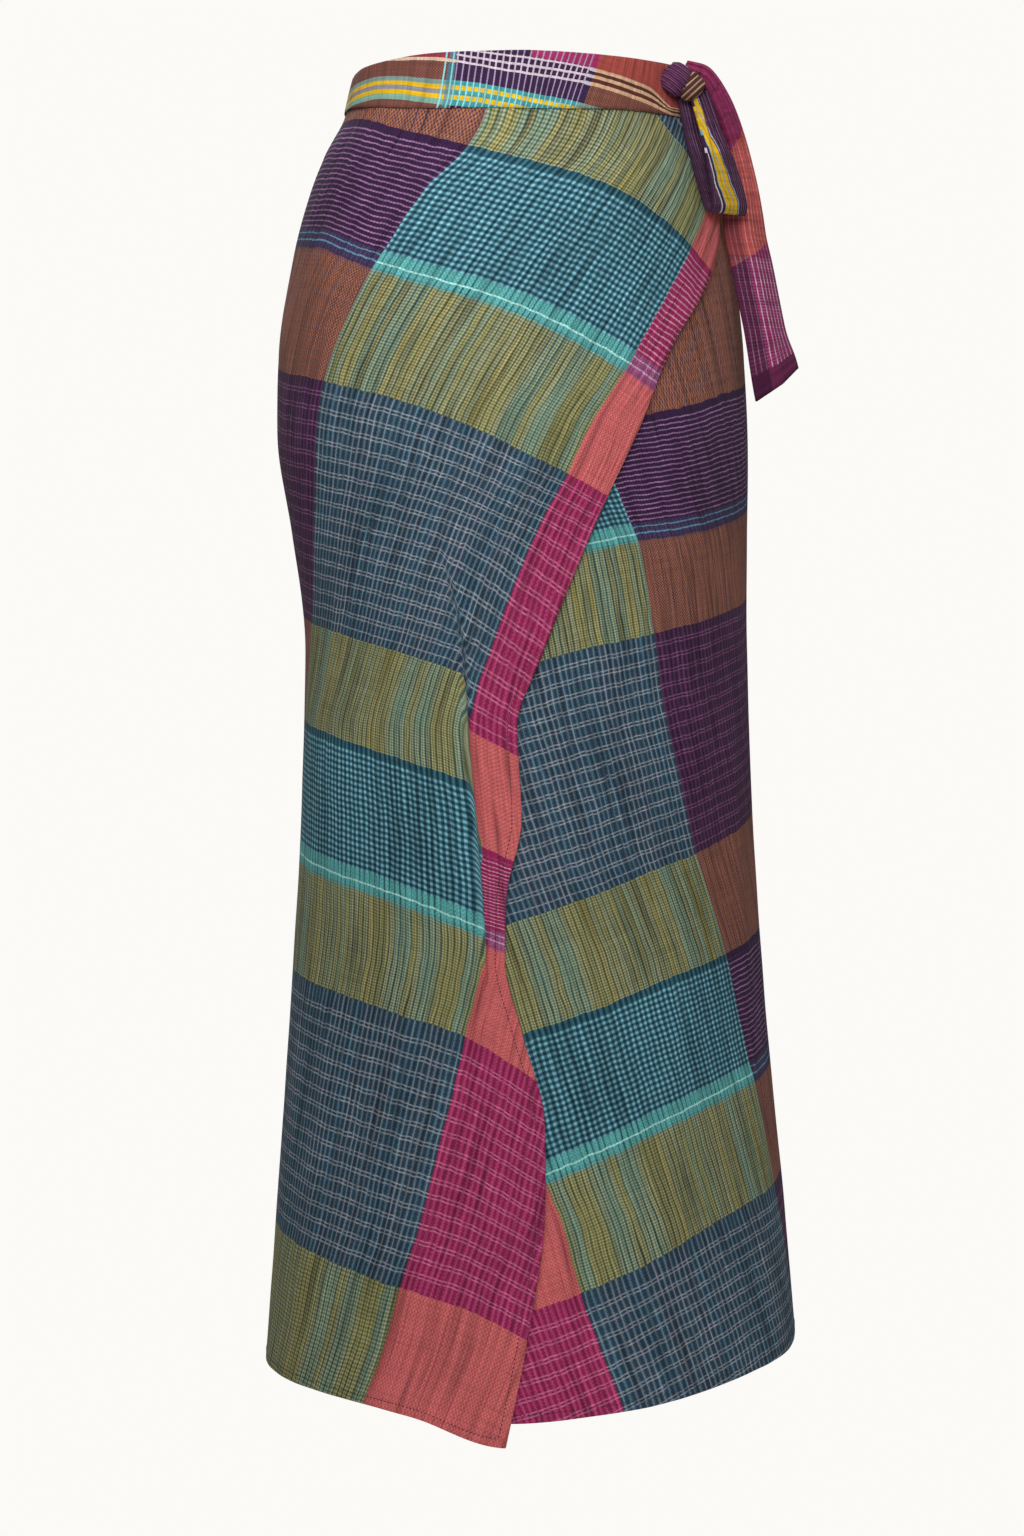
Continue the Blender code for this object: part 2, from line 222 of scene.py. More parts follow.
UNDER_ROWS = table(UnderRows,
    (-74.0, 0.2600, 0.3600, 0.4350, 0.6100, 0.6900, 0.7850, 0.8650, 1.0400),
    (-35.0, 0.2500, 0.3410, 0.4060, 0.5720, 0.6455, 0.7480, 0.8280, 1.0050),
    (-20.0, 0.2450, 0.3315, 0.3950, 0.5585, 0.6320, 0.7310, 0.8120, 0.9850),
    (-5.0, 0.2400, 0.3235, 0.3875, 0.5450, 0.6185, 0.7150, 0.7950, 0.9650),
    (12.0, 0.2320, 0.3185, 0.3795, 0.5340, 0.6085, 0.7030, 0.7800, 0.9500),
    (30.0, 0.2210, 0.3110, 0.3720, 0.5230, 0.6000, 0.6950, 0.7710, 0.9400),
    (50.0, 0.2120, 0.3020, 0.3650, 0.5120, 0.5920, 0.6880, 0.7630, 0.9350),
    (80.0, 0.1780, 0.2650, 0.3320, 0.4840, 0.5620, 0.6580, 0.7330, 0.9060),
    (110.0, 0.1290, 0.2150, 0.2860, 0.4440, 0.5190, 0.6170, 0.6910, 0.8650),
    (145.0, 0.0740, 0.1560, 0.2330, 0.3980, 0.4700, 0.5700, 0.6450, 0.8190),
    (180.0, 0.0400, 0.1200, 0.2000, 0.3700, 0.4400, 0.5400, 0.6150, 0.7900),
)

# ---------------------------------------------------------------- the tie

Run = namedtuple("Run", "around out drop turn tilt spread crease")
TIE_LOOP = table(Run,
    (0.0120, 0.0120, 0.0170, 12.0, 0.0, 0.42, 0.0015),
    (0.0215, 0.0150, 0.0480, 8.0, 0.0, 0.58, 0.0010),
    (0.0275, 0.0183, 0.0620, 6.0, 0.0, 0.78, 0.0005),
    (0.0340, 0.0208, 0.0780, 5.0, 0.0, 0.92, 0.0000),
    (0.0398, 0.0230, 0.0915, 5.0, 0.0, 0.98, 0.0000),
    (0.0415, 0.0266, 0.0975, 5.0, 0.0, 1.00, 0.0000),
    (0.0398, 0.0302, 0.0915, 5.0, 0.0, 0.98, 0.0000),
    (0.0340, 0.0308, 0.0780, 5.0, 0.0, 0.90, 0.0000),
    (0.0275, 0.0302, 0.0620, 8.0, 0.0, 0.72, 0.0005),
    (0.0215, 0.0280, 0.0480, 12.0, 0.0, 0.52, 0.0010),
    (0.0135, 0.0210, 0.0170, 16.0, 0.0, 0.42, 0.0015),
)
TIE_TAIL = table(Run,
    (0.0075, 0.0150, 0.0040, 38.0, 80.0, 0.36, 0.0020),
    (0.0195, 0.0212, 0.0085, 36.0, 66.0, 0.46, 0.0035),
    (0.0365, 0.0218, 0.0235, 34.0, 34.0, 0.54, 0.0045),
    (0.0600, 0.0200, 0.0540, 30.0, 10.0, 0.62, 0.0050),
    (0.0700, 0.0205, 0.0850, 28.0, 0.0, 0.76, 0.0060),
    (0.0735, 0.0210, 0.1070, 26.0, 0.0, 0.86, 0.0065),
    (0.0790, 0.0240, 0.1320, 25.0, 0.0, 0.88, 0.0065),
    (0.0849, 0.0300, 0.1720, 25.0, 0.0, 0.88, 0.0065),
    (0.0920, 0.0370, 0.2140, 25.0, 0.0, 0.90, 0.0060),
)
STRAP_WALL = 0.0005
STRAP_HALF_GAP = 0.0008
Step = namedtuple("Step", ("at",) + Run._fields)
PLEATS = 3
PLEAT_DEEP = 0.0019
PLEAT_SWAY = 0.25

# The strap's wraps round the band: the knot, and the turn of the strap that the loop comes out of
Wrap = namedtuple("Wrap", "around out drop wide long deep turn lean grooves starts")
WRAP_TURNS = 1.04
WRAP_SIDES = 0.25
GROOVE_DEEP = 0.0011
KNOT_WRAP = Wrap(-0.0012, 0.0125, 0.0105, 0.0108, 0.0098, 0.0085, 50.0, 36.0, 3.0, 0.0)
LOOP_WRAP = Wrap(0.0062, 0.0190, 0.0150, 0.0085, 0.0100, 0.0072, 50.0, -42.0, 2.0, -0.030)

# ---------------------------------------------------------------- the waistband

# Where the band has slumped over the right hip: how far its rim lies below the top, and how far in
Slump = namedtuple("Slump", "bearing below inward")
BAND_SLUMP = table(Slump,
    (-180.0, 0.0, 0.0), (-150.0, 0.002, 0.0012), (-130.0, 0.005, 0.0025), (-112.0, 0.0075, 0.0036),
    (-105.0, 0.0066, 0.0034), (-97.0, 0.0053, 0.0029), (-85.0, 0.0042, 0.0018),
    (-75.0, 0.003, 0.001), (-61.0, 0.0016, 0.0), (-45.0, 0.001, 0.0), (-30.0, 0.0, 0.0),
    (180.0, 0.0, 0.0),
)
# Drops of the first and last pale line and of the two yellow lines along the waistband, and how
# far its crossing lines lean
Stripes = namedtuple("Stripes", "bearing first_pale last_pale yellow second_yellow lean")
BAND_STRIPES = table(Stripes,
    (-180.0, 0.0010, 0.0060, 0.0200, 0.0255, 0.0),
    (-112.0, -0.0030, 0.0030, 0.0222, 0.0272, 0.0),
    (-105.0, -0.0035, 0.0026, 0.0200, 0.0252, 0.0),
    (-97.0, -0.0035, 0.0022, 0.0185, 0.0240, 0.0),
    (-86.0, -0.0035, 0.0020, 0.0173, 0.0231, 0.0),
    (-75.0, -0.0035, 0.0030, 0.0189, 0.0248, 0.10),
    (-61.0, -0.0030, 0.0046, 0.0234, 0.0294, 0.14),
    (-49.0, 0.0002, 0.0085, 0.0257, 0.0322, 0.15),
    (-40.0, 0.0027, 0.0125, 0.0287, 0.0355, 0.17),
    (-31.0, 0.0045, 0.0150, 0.0326, 0.0394, 0.26),
    (-20.0, 0.0072, 0.0175, 0.0364, 0.0436, 0.40),
    (-12.0, 0.0095, 0.0195, 0.0400, 0.0480, 0.45),
    (0.0, 0.0140, 0.0245, 0.0450, 0.0530, 0.40),
    (10.0, 0.0190, 0.0290, 0.0500, 0.0580, 0.30),
    (19.0, 0.0295, 0.0325, 0.0540, 0.0620, 0.20),
    (43.0, 0.0290, 0.0325, 0.0540, 0.0620, 0.0),
)
# Where those four lines lie on the band's cloth
STRIPE_PLACES = (0.0, 0.0110, 0.0300, 0.0375)

# ---------------------------------------------------------------- reading tables


class Curve:
    """A smooth line through a table's points that never overshoots between two of them."""

    def __init__(self, rows, along, name):
        self.places = [getattr(row, along) for row in rows]
        self.values = [getattr(row, name) for row in rows]
        steps = range(len(rows) - 1)
        slopes = [
            (self.values[k + 1] - self.values[k]) / (self.places[k + 1] - self.places[k])
            for k in steps
        ]
        self.tangents = [slopes[0]]
        for before, after in zip(slopes, slopes[1:]):
            self.tangents.append(
                0.0 if before * after <= 0 else 2 * before * after / (before + after)
            )
        self.tangents.append(slopes[-1])

    def __call__(self, place):
        if place <= self.places[0]:
            return self.values[0]
        if place >= self.places[-1]:
            return self.values[-1]
        k = bisect_right(self.places, place) - 1
        step = self.places[k + 1] - self.places[k]
        t = (place - self.places[k]) / step
        start, end = self.tangents[k] * step, self.tangents[k + 1] * step
        rise = self.values[k + 1] - self.values[k]
        bent = 3 * rise - 2 * start - end + t * (start + end - 2 * rise)
        return self.values[k] + t * (start + t * bent)


def curves(rows, along):
    """One curve for each other column of the table."""
    return {name: Curve(rows, along, name) for name in rows[0]._fields if name != along}


def ease(value):
    value = max(0.0, min(1.0, value))
    return value * value * (3 - 2 * value)


BODY = curves(FORM, "drop")
SEAM = Curve(BAND_SEAM, "bearing", "drop")
SLUMP = curves(BAND_SLUMP, "bearing")
OVER_BOTTOM = Curve(OVER_HEM, "bearing", "drop")
UNDER_BOTTOM = Curve(UNDER_HEM, "bearing", "drop")
EDGE = Curve(WRAP_EDGE, "drop", "bearing")
KNEE = curves(KNEE_FOLD, "drop")
OVER_CHART = (curves(OVER_COLUMNS, "drop"), curves(OVER_ROWS, "bearing"))
UNDER_CHART = (curves(UNDER_COLUMNS, "drop"), curves(UNDER_ROWS, "bearing"))
STRIPES = curves(BAND_STRIPES, "bearing")


# ---------------------------------------------------------------- the surfaces


def form_point(bearing, drop, out=0.0):
    """A point on the body's form, moved outwards by out, square to the section."""
    turn = math.radians(bearing)
    wide = BODY["left" if math.sin(turn) > 0 else "right"](drop)
    deep = BODY["front" if math.cos(turn) > 0 else "back"](drop)
    across = Vector((wide * math.sin(turn), -deep * math.cos(turn), 0))
    normal = Vector((math.sin(turn) / wide, -math.cos(turn) / deep, 0)).normalized()
    return across + normal * out + Vector((0, 0, BAND_HEIGHT / 2 - drop))


def arc(bearing, drop):
    """The length round the form from the front to a bearing, negative to the wearer's right."""
    turn = math.radians(abs(bearing))
    wide = BODY["left" if bearing > 0 else "right"](drop)
    front, back = BODY["front"](drop), BODY["back"](drop)
    near = min(turn, math.pi / 2)
    length = (wide + front) / 2 * near + (wide - front) / 4 * math.sin(2 * near)
    if turn > near:
        length += (wide + back) / 2 * (turn - near) + (wide - back) / 4 * math.sin(2 * turn)
    return math.copysign(length, bearing)


def wave_height(bearing, drop):
    growth = ease((drop - WAVE_STARTS) / (WAVE_FULL - WAVE_STARTS))
    total = 0.0
    for wave in WAVES:
        crest = wave.hip + (wave.hem - wave.hip) * growth
        away = (bearing - crest + 180) % 360 - 180
        total += wave.height * growth * math.exp(-((away / wave.reach) ** 2))
    return total


def crease_height(creases, bearing, drop):
    """The creases' rise or fall: full along the middle of each line, and fading at its ends."""
    total = 0.0
    metres = math.radians(BODY["right"](drop))
    for crease in creases:
        turned = (crease.to_bearing - crease.bearing) * metres
        along = Vector((turned, crease.to_drop - crease.drop))
        place = Vector(((bearing - crease.bearing) * metres, drop - crease.drop))
        part = along.dot(place) / along.length_squared
        if not 0 < part < 1:
            continue
        away = (place - along * part).length / crease.reach
        total += crease.height * math.exp(-away * away) * math.sin(math.pi * part) ** 0.7
    return total


def puckered(length, drop, pucker):
    return noise.noise(Vector((length / pucker.wide, drop / pucker.tall, pucker.draw)))


def crinkle(bearing, drop):
    """Small uneven puckers: gathers under the waistband, and long soft crinkles below."""
    length = arc(bearing, drop)
    below = max(0.0, drop - SEAM(bearing))
    calm = ease((CENTRE_BACK - abs(bearing)) / CALM_BY_SEAM)
    gather = puckered(length, drop, GATHERS) * math.exp(-below / GATHER_FADES)
    long_way = puckered(length, drop, LONG_CRINKLES)
    short_way = puckered(length, drop, SHORT_CRINKLES)
    return calm * (GATHER_HEIGHT * gather + CRINKLE_HEIGHT * (0.6 * long_way + 0.4 * short_way))


def over_lift(bearing):
    return OVER_LIFT * ease((bearing - LIFT_STARTS) / (LIFT_FULL - LIFT_STARTS))


def over_place(bearing, drop, inward=0.0):
    """The knee fold leans over its own step, as a turned fold does."""
    crest, height = KNEE["bearing"](drop), KNEE["height"](drop)
    way = (bearing - crest) / FOLD_STEP
    fold, at = 0.0, bearing
    if way <= 0:
        fold = height * math.exp(-(((crest - bearing) / FOLD_BACK_REACH) ** 2))
    elif way < 1:
        fold = height * (1 - ease(way))
        lean = FOLD_LEAN * min(1.0, height / FOLD_TALLEST)
        at = crest + FOLD_STEP * (way + lean * math.sin(2 * math.pi * way) / (2 * math.pi))
    out = over_lift(bearing) + wave_height(bearing, drop) + fold
    out += crease_height(OVER_CREASES, bearing, drop) + crinkle(bearing, drop)
    return form_point(at, drop, out - inward)


def under_place(bearing, drop, inward=0.0):
    """The cloth lies calmer where the over panel covers it."""
    hidden = ease((EDGE(drop) - bearing) / 6.0)
    detail = crease_height(UNDER_CREASES, bearing, drop) + crinkle(bearing, drop)
    out = wave_height(bearing, drop) + detail * (1 - 0.7 * hidden)
    return form_point(bearing, drop, out - inward)


def chart(columns_and_rows, bearing, drop, swallowed=0.0, mirrored=False):
    """Where a point of a panel lies in the cloth: metres across from the plum column, and down."""
    columns, rows = columns_and_rows
    length = arc(bearing, drop)
    plum, red = columns["plum"](drop), columns["red"](drop)
    across = (length - plum) * (-1 if mirrored else 1)
    wide = abs(red - plum)
    if across > wide:
        across = TEAL_WIDE + across - wide
    elif across > 0:
        across *= TEAL_WIDE / wide
    lines = [line(bearing) for line in rows.values()]
    steps = [ROW_A, ROW_B, ROW_A, ROW_C] * 2
    steps = steps[1 + len(steps) - len(lines):]
    level = drop - swallowed
    down = ROW_A if mirrored else 0.0
    if level < lines[0]:
        return across, down + (level - lines[0]) * 0.35
    for k, step in enumerate(steps):
        if level < lines[k + 1]:
            return across, down + step * (level - lines[k]) / (lines[k + 1] - lines[k])
        down += step
    return across, down + (level - lines[-1]) * 0.7


# ---------------------------------------------------------------- meshes

# A narrow turned edge: how far back from the fold, and how far inside the cloth
Turn = namedtuple("Turn", "back inward")
EDGE_TURN = table(Turn,
    (0.00018, 0.00018), (0.0, 0.0006), (0.00018, 0.00102), (0.0006, 0.0012), (0.0025, 0.0012),
    (0.0045, 0.0012), (0.0065, 0.0012),
)
TURN_RADIUS = 0.0006
HEM_DEEP = 0.0065
CORNER_REACH = 0.002
# The over panel's seam allowance at the centre back: how far past the seam, in degrees, and how
# far inside the cloth, so that it laps under the under panel and closes the seam
Lap = namedtuple("Lap", "past inward")
SEAM_LAP = table(Lap,
    (2.4, 0.0013), (1.2, 0.0013), (0.25, 0.0013), (0.02, 0.0008), (-0.05, 0.0003),
)


def new_object(name, data):
    made = bpy.data.objects.new(name, data)
    bpy.context.scene.collection.objects.link(made)
    return made


def new_mesh(name, points, faces, material):
    mesh = bpy.data.meshes.new(name)
    mesh.from_pydata(points, [], faces)
    mesh.materials.append(material)
    return mesh


def sheet_mesh(name, columns, material, wall=CLOTH):
    """A thin sheet through columns of (point, (across, down)), with a real wall."""
    down = len(columns[0])
    points = [point for column in columns for point, _ in column]
    charted = [place for column in columns for _, place in column]
    faces = [
        (i * down + j, i * down + j + 1, (i + 1) * down + j + 1, (i + 1) * down + j)
        for i in range(len(columns) - 1)
        for j in range(down - 1)
    ]
    mesh = new_mesh(name, points, faces, material)
    layer = mesh.uv_layers.new(name="weave")
    for loop in mesh.loops:
        layer.uv[loop.index].vector = charted[loop.vertex_index]
    mesh.shade_smooth()
    piece = new_object(name, mesh)
    solid = piece.modifiers.new("Wall", "SOLIDIFY")
    solid.thickness = wall
    solid.offset = 0.0
    solid.use_rim = True
    return piece


def over_bearing(part_way, drop):
    """The bearing from the centre back to the free edge, with columns on the fold."""
    start = -CENTRE_BACK + HALF_BACK_GAP
    crest = KNEE["bearing"](drop)
    edge = EDGE(drop) - math.degrees(TURN_RADIUS / BODY["right"](drop))
    back_share, step_share = 0.645, 0.075
    if part_way <= back_share:
        return start + (crest - start) * part_way / back_share
    if part_way <= back_share + step_share:
        return crest + FOLD_STEP * (part_way - back_share) / step_share
    left = (part_way - back_share - step_share) / (1 - back_share - step_share)
    return crest + FOLD_STEP + (edge - crest - FOLD_STEP) * left


def hang(bottom, bearing, part_down, hem=None):
    """The drop a part of the way down a panel, or on its turned hem."""
    if hem:
        return bottom(bearing) - hem.back
    top = SEAM(bearing) - TUCK
    return top + (bottom(bearing) - TURN_RADIUS - top) * part_down


def over_columns(across, down):
    """Columns of the over panel, with its free edge and its hem turned to the inside."""
    made = []
    for i in range(-len(SEAM_LAP), across + 1 + len(EDGE_TURN)):
        lap = SEAM_LAP[i + len(SEAM_LAP)] if i < 0 else None
        edge = EDGE_TURN[i - across - 1] if i > across else None
        column = []
        for j in range(down + 1 + len(EDGE_TURN)):
            hem = EDGE_TURN[j - down - 1] if j > down else None
            drop = hang(OVER_BOTTOM, 0.0, min(1.0, j / down))
            for _ in range(4):
                if lap:
                    bearing = -CENTRE_BACK - lap.past
                elif edge:
                    bearing = EDGE(drop) - math.degrees(edge.back / BODY["right"](drop))
                else:
                    bearing = over_bearing(i / across, drop)
                drop = hang(OVER_BOTTOM, bearing, j / down, hem)
            # At the corner the edge's turn goes further in, so that it passes inside the hem's
            corner = ease((drop - OVER_BOTTOM(bearing) + HEM_DEEP + CORNER_REACH) / CORNER_REACH)
            inward = hem.inward if hem else 0.0
            inward += (edge.inward if edge else 0.0) * (1 if hem else 1 + 2 * corner)
            inward += lap.inward if lap else 0.0
            crest = KNEE["bearing"](drop)
            slipped = KNEE["swallowed"](drop) * ease((bearing - crest) / FOLD_STEP)
            place = chart(OVER_CHART, bearing, drop, slipped)
            column.append((over_place(bearing, drop, inward), place))
        made.append(column)
    return made


def under_columns(across, down):
    """Columns of the under panel, with its hem turned to the inside."""
    made = []
    for i in range(across + 1):
        bearing = UNDER_EDGE + (CENTRE_BACK - HALF_BACK_GAP - UNDER_EDGE) * i / across
        column = []
        for j in range(down + 1 + len(EDGE_TURN)):
            hem = EDGE_TURN[j - down - 1] if j > down else None
            drop = hang(UNDER_BOTTOM, bearing, j / down, hem)
            place = chart(UNDER_CHART, bearing, drop, mirrored=True)
            column.append((under_place(bearing, drop, hem.inward if hem else 0.0), place))
        made.append(column)
    return made


# ---------------------------------------------------------------- materials


def linear(code):
    """A colour written as six sRGB hex digits, in linear light and opaque."""
    parts = [int(code[k:k + 2], 16) / 255 for k in (0, 2, 4)]
    return (*(p / 12.92 if p <= 0.04045 else ((p + 0.055) / 1.055) ** 2.4 for p in parts), 1.0)


def add(tree, kind, inputs=(), output=0, stops=None, smooth=False, **settings):
    """Adds a node with its settings, colour stops and links, and gives one of its outputs."""
    node = tree.nodes.new("ShaderNode" + kind)
    for name, value in settings.items():
        setattr(node, name, value)
    for key, value in inputs.items() if isinstance(inputs, dict) else enumerate(inputs):
        if isinstance(value, bpy.types.NodeSocket):
            tree.links.new(value, node.inputs[key])
        else:
            node.inputs[key].default_value = value
    if stops:
        ramp = node.color_ramp
        ramp.interpolation = "EASE" if smooth else "CONSTANT"
        while len(ramp.elements) < len(stops):
            ramp.elements.new(1.0)
        for element, (place, colour) in zip(ramp.elements, stops):
            element.position = place
            element.color = linear(colour) if isinstance(colour, str) else (colour,) * 3 + (1.0,)
    return node.outputs[output] if len(node.outputs) else node


def lay(tree, under, over, *amounts, blend="MIX"):
    """Lays one colour over another, as strongly as all the amounts together."""
    amount = amounts[0]
    for other in amounts[1:]:
        amount = add(tree, "Math", (amount, other), operation="MULTIPLY")
    return add(tree, "Mix", {0: amount, 6: under, 7: over}, output=2, data_type="RGBA",
               blend_type=blend)


def lines_at(tree, place, spacing, wide, first=0.0, soft=0.35):
    """1 on threads of a width at each spacing of a length, and 0 between, with soft sides."""
    way = add(tree, "Math", (place, 1 / spacing, 0.5 - first / spacing),
              operation="MULTIPLY_ADD")
    turn = add(tree, "Math", (way, 1.0), operation="FLOORED_MODULO")
    away = add(tree, "Math", (turn, 0.5, 0.0), operation="SUBTRACT")
    size = add(tree, "Math", (away,), operation="ABSOLUTE")
    half = wide / spacing / 2
    return add(tree, "MapRange", (size, half * (1 + soft), half * (1 - soft)))


def stretches(tree, place, span, first, *stops):
    """A colour or a number for each stretch of a span: the first, and one from each stop on."""
    low, high = span
    part = add(tree, "MapRange", (place, low, high))
    marks = [((start - low) / (high - low), value) for start, value in stops]
    return add(tree, "ValToRGB", (part,), stops=[(0.0, first), *marks])


def checked(tree, across, down, pitch):
    """The threads of one way, and the fine check where just one of the two ways' threads shows."""
    one, two = (lines_at(tree, way, pitch, pitch / 2) for way in (across, down))
    other = add(tree, "Math", (one, two), operation="SUBTRACT")
    return one, add(tree, "Math", (other,), operation="ABSOLUTE")


def strewn(tree, place, scale, low=0.0, high=1.0, detail=1.0, seed=0.0):
    """Soft random patches at a scale given per metre, from low to high."""
    moved = add(tree, "Mapping", {0: place, "Scale": scale, "Location": (seed, seed, seed)})
    grey = add(tree, "TexNoise", {"Vector": moved, "Scale": 1.0, "Detail": detail})
    return add(tree, "MapRange", (grey, 0.3, 0.7, low, high))


def wandering(tree, reach):
    """The cloth's own metres, with lines that wander as crinkled hand-woven ones do."""
    place = add(tree, "UVMap", uv_map="weave")
    coarse = add(tree, "TexNoise", {"Vector": place, "Scale": 34.0, "Detail": 2.0}, output=1)
    stretch = add(tree, "Mapping", {0: place, "Scale": (150.0, 36.0, 1.0)})
    fine = add(tree, "TexNoise", {"Vector": stretch, "Scale": 1.0, "Detail": 1.0}, output=1)
    both = add(tree, "VectorMath", (coarse, fine), operation="ADD")
    centred = add(tree, "VectorMath", (both, (1.0, 1.0, 0.0)), operation="SUBTRACT")
    moved = add(tree, "VectorMath", (centred, (reach, reach, 0.0), place),
                operation="MULTIPLY_ADD")
    across = add(tree, "SeparateXYZ", (moved,), output=0)
    down = add(tree, "SeparateXYZ", (moved,), output=1)
    return place, across, down


# The dyed yarns of each row, in each column: the ground that the eye mixes, the thread that
# speckles it, and the lines that run along the warp and across it
Dyes = namedtuple("Dyes", "row part plum teal red")
DYES = table(Dyes,
    ("a", "ground", "a86a4c", "8d8d68", "d87070"),
    ("a", "thread", "2f2b44", "a79a62", "b25254"),
    ("a", "warp", "38304a", "2c3c3b", "b04c52"),
    ("b", "ground", "3f2449", "86c0d0", "a62e60"),
    ("b", "thread", "281833", "7db6c6", "7c2049"),
    ("b", "warp", "34203f", "7d939a", "8c2850"),
    ("b", "weft", "b483b0", "7d939a", "e2a6bd"),
    ("c", "ground", "573054", "436070", "b83a6e"),
    ("c", "thread", "341f3a", "2a3c4e", "86244c"),
    ("c", "warp", "65395f", "7f939e", "ba4c78"),
    ("c", "weft", "9c6496", "b2b4ba", "dc88a8"),
    ("band", "ground", "41284c", "4f9da0", "94456f"),
    ("band", "thread", "4a4a6c", "6ab8b2", "a4668f"),
    ("band", "warp", "33203f", "1c4a50", "7a3560"),
    ("band", "weft", "6a9dba", "b8ece4", "d3a8c6"),
)
# The span of the cloth's columns, from behind the plum one to past the teal one
COLUMNS_SPAN = (-0.52, 0.40)
# Both threads show as a fine check, drawn at 2.6 mm where the real one is under 1 mm
CHECK_PITCH = 0.0026
# The teal column's warp stripes, the plum one's dark warp lines, and the rows' picks
WARP_PITCH = 0.0043
PLUM_WARP_PITCH = 0.0072
DARK_PICK_PITCH = 0.0041
PINSTRIPE_PITCH = 0.0040
PAIR_PITCH = 0.0104
# Row B and row C start plain, and a bright band ends row B
PLAIN_START = 0.0056
BRIGHT_BAND = 0.0150
ENDS_B = ROW_A + ROW_B
STARTS_C = ENDS_B + ROW_A


def bare_material(name):
    material = bpy.data.materials.new(name)
    material.use_nodes = True
    material.node_tree.nodes.clear()
    return material, material.node_tree


def madras(settings):
    """Yarn-dyed plain-woven cotton in a large uneven plaid.

    The eye sees dull mixed threads: dark lines between strips where the warp changes colour, dots
    where both threads change, pinstripes of single picks, and a crinkled, softly napped surface.
    """
    material, tree = bare_material("yarn_dyed_madras_cotton")
    chart_uv, across, down = wandering(tree, 0.0020)

    def by_column(plum, teal, red):
        return stretches(tree, across, COLUMNS_SPAN, teal,
                         (-PLUM_WIDE, plum), (0.0, teal), (TEAL_WIDE, red))

    def dyed(row, part):
        dyes = next(dye for dye in DYES if (dye.row, dye.part) == (row, part))
        return by_column(dyes.plum, dyes.teal, dyes.red)

    in_teal = by_column(0.0, 1.0, 0.0)
    turn = add(tree, "Math", (down, REPEAT), operation="FLOORED_MODULO")
    in_rows = partial(stretches, tree, turn, (0.0, REPEAT), 0.0)
    row_b = in_rows((ROW_A, 1.0), (ENDS_B, 0.0))
    lines_b = in_rows((ROW_A + PLAIN_START, 1.0), (ENDS_B - BRIGHT_BAND, 0.0))
    plain_b = in_rows((ROW_A, 1.0), (ROW_A + PLAIN_START, 0.0))
    # The band fades into the rows beside it, because its picks come in one by one
    turned = add(tree, "MapRange", (turn, ENDS_B - BRIGHT_BAND, ENDS_B + 0.004))
    band = add(tree, "ValToRGB", (turned,), smooth=True, stops=[
        (0.0, 0.0), (0.14, 1.0), (0.66, 1.0), (0.99, 0.0),
    ])
    row_c = in_rows((STARTS_C, 1.0))
    lines_c = in_rows((STARTS_C + PLAIN_START, 1.0), (REPEAT - PLAIN_START, 0.0))
    warp_threads, speck = checked(tree, across, down, CHECK_PITCH)
    speck_less = add(tree, "Math", (speck, 0.85), operation="MULTIPLY")

    # Each warp strip of the teal column comes from its own lot of yarn
    strip = add(tree, "Math", (across, WARP_PITCH), operation="DIVIDE")
    strip_no = add(tree, "Math", (strip,), operation="FLOOR")
    part = add(tree, "Math", (strip,), operation="FRACT")
    lot = add(tree, "TexWhiteNoise", {"W": strip_no}, noise_dimensions="1D")
    warp_line = lines_at(tree, across, WARP_PITCH, 0.0011)
    strips = add(tree, "ValToRGB", (part,), smooth=True, stops=[
        (0.0, "202e30"), (0.09, "2c3d3e"), (0.22, "b4bfa2"), (0.36, "9a956c"), (0.50, "6a6a52"),
        (0.56, "b0a574"), (0.72, "bcbe9c"), (0.84, "838664"), (0.93, "2c3d3e"), (1.0, "202e30"),
    ])
    lot_tint = add(tree, "ValToRGB", (lot,), stops=[
        (0.0, "989250"), (0.30, "8f9676"), (0.50, "6c9c94"), (0.66, "a6923c"), (0.80, "7b9784"),
        (0.92, "6e6840"),
    ])
    strips = lay(tree, strips, lot_tint, strewn(tree, chart_uv, (20.0, 20.0, 1.0), 0.25, 0.50))
    # Single picks cross the strips, drawn 2 mm apart
    picks = lines_at(tree, down, 0.0020, 0.0010)
    strips = lay(tree, strips, linear("c4c7ba"), picks, blend="MULTIPLY")
    ground_a = lay(tree, dyed("a", "ground"), dyed("a", "thread"), speck_less)
    plum_warp = lines_at(tree, across, PLUM_WARP_PITCH, 0.0009)
    uneven = strewn(tree, chart_uv, (60.0, 25.0, 1.0))
    ground_a = lay(tree, ground_a, dyed("a", "warp"), plum_warp, uneven)
    colour = lay(tree, ground_a, strips, in_teal)

    # Row B: a two-way check in the teal column, and pinstripes of single picks in the others
    ground_b = lay(tree, dyed("b", "ground"), dyed("b", "thread"), speck_less)
    dark_strip = lines_at(tree, across, WARP_PITCH, 0.0023)
    dark_pick = lines_at(tree, down, DARK_PICK_PITCH, 0.0022)
    dark_or_plain = add(tree, "Math", (dark_pick, plain_b), operation="MAXIMUM")
    check = lay(tree, ground_b, dyed("b", "warp"), dark_strip, blend="MULTIPLY")
    check = lay(tree, check, dyed("b", "weft"), dark_or_plain, blend="MULTIPLY")
    pinstripe = lines_at(tree, down, PINSTRIPE_PITCH, 0.0011)
    beads = add(tree, "MapRange", (warp_threads, 0.0, 1.0, 0.62, 1.0))
    worn = strewn(tree, chart_uv, (70.0, 200.0, 1.0), 0.45, 1.0, seed=3.0)
    pinned = lay(tree, ground_b, dyed("b", "weft"), pinstripe, lines_b, beads, worn)
    colour = lay(tree, colour, lay(tree, pinned, check, in_teal), row_b)

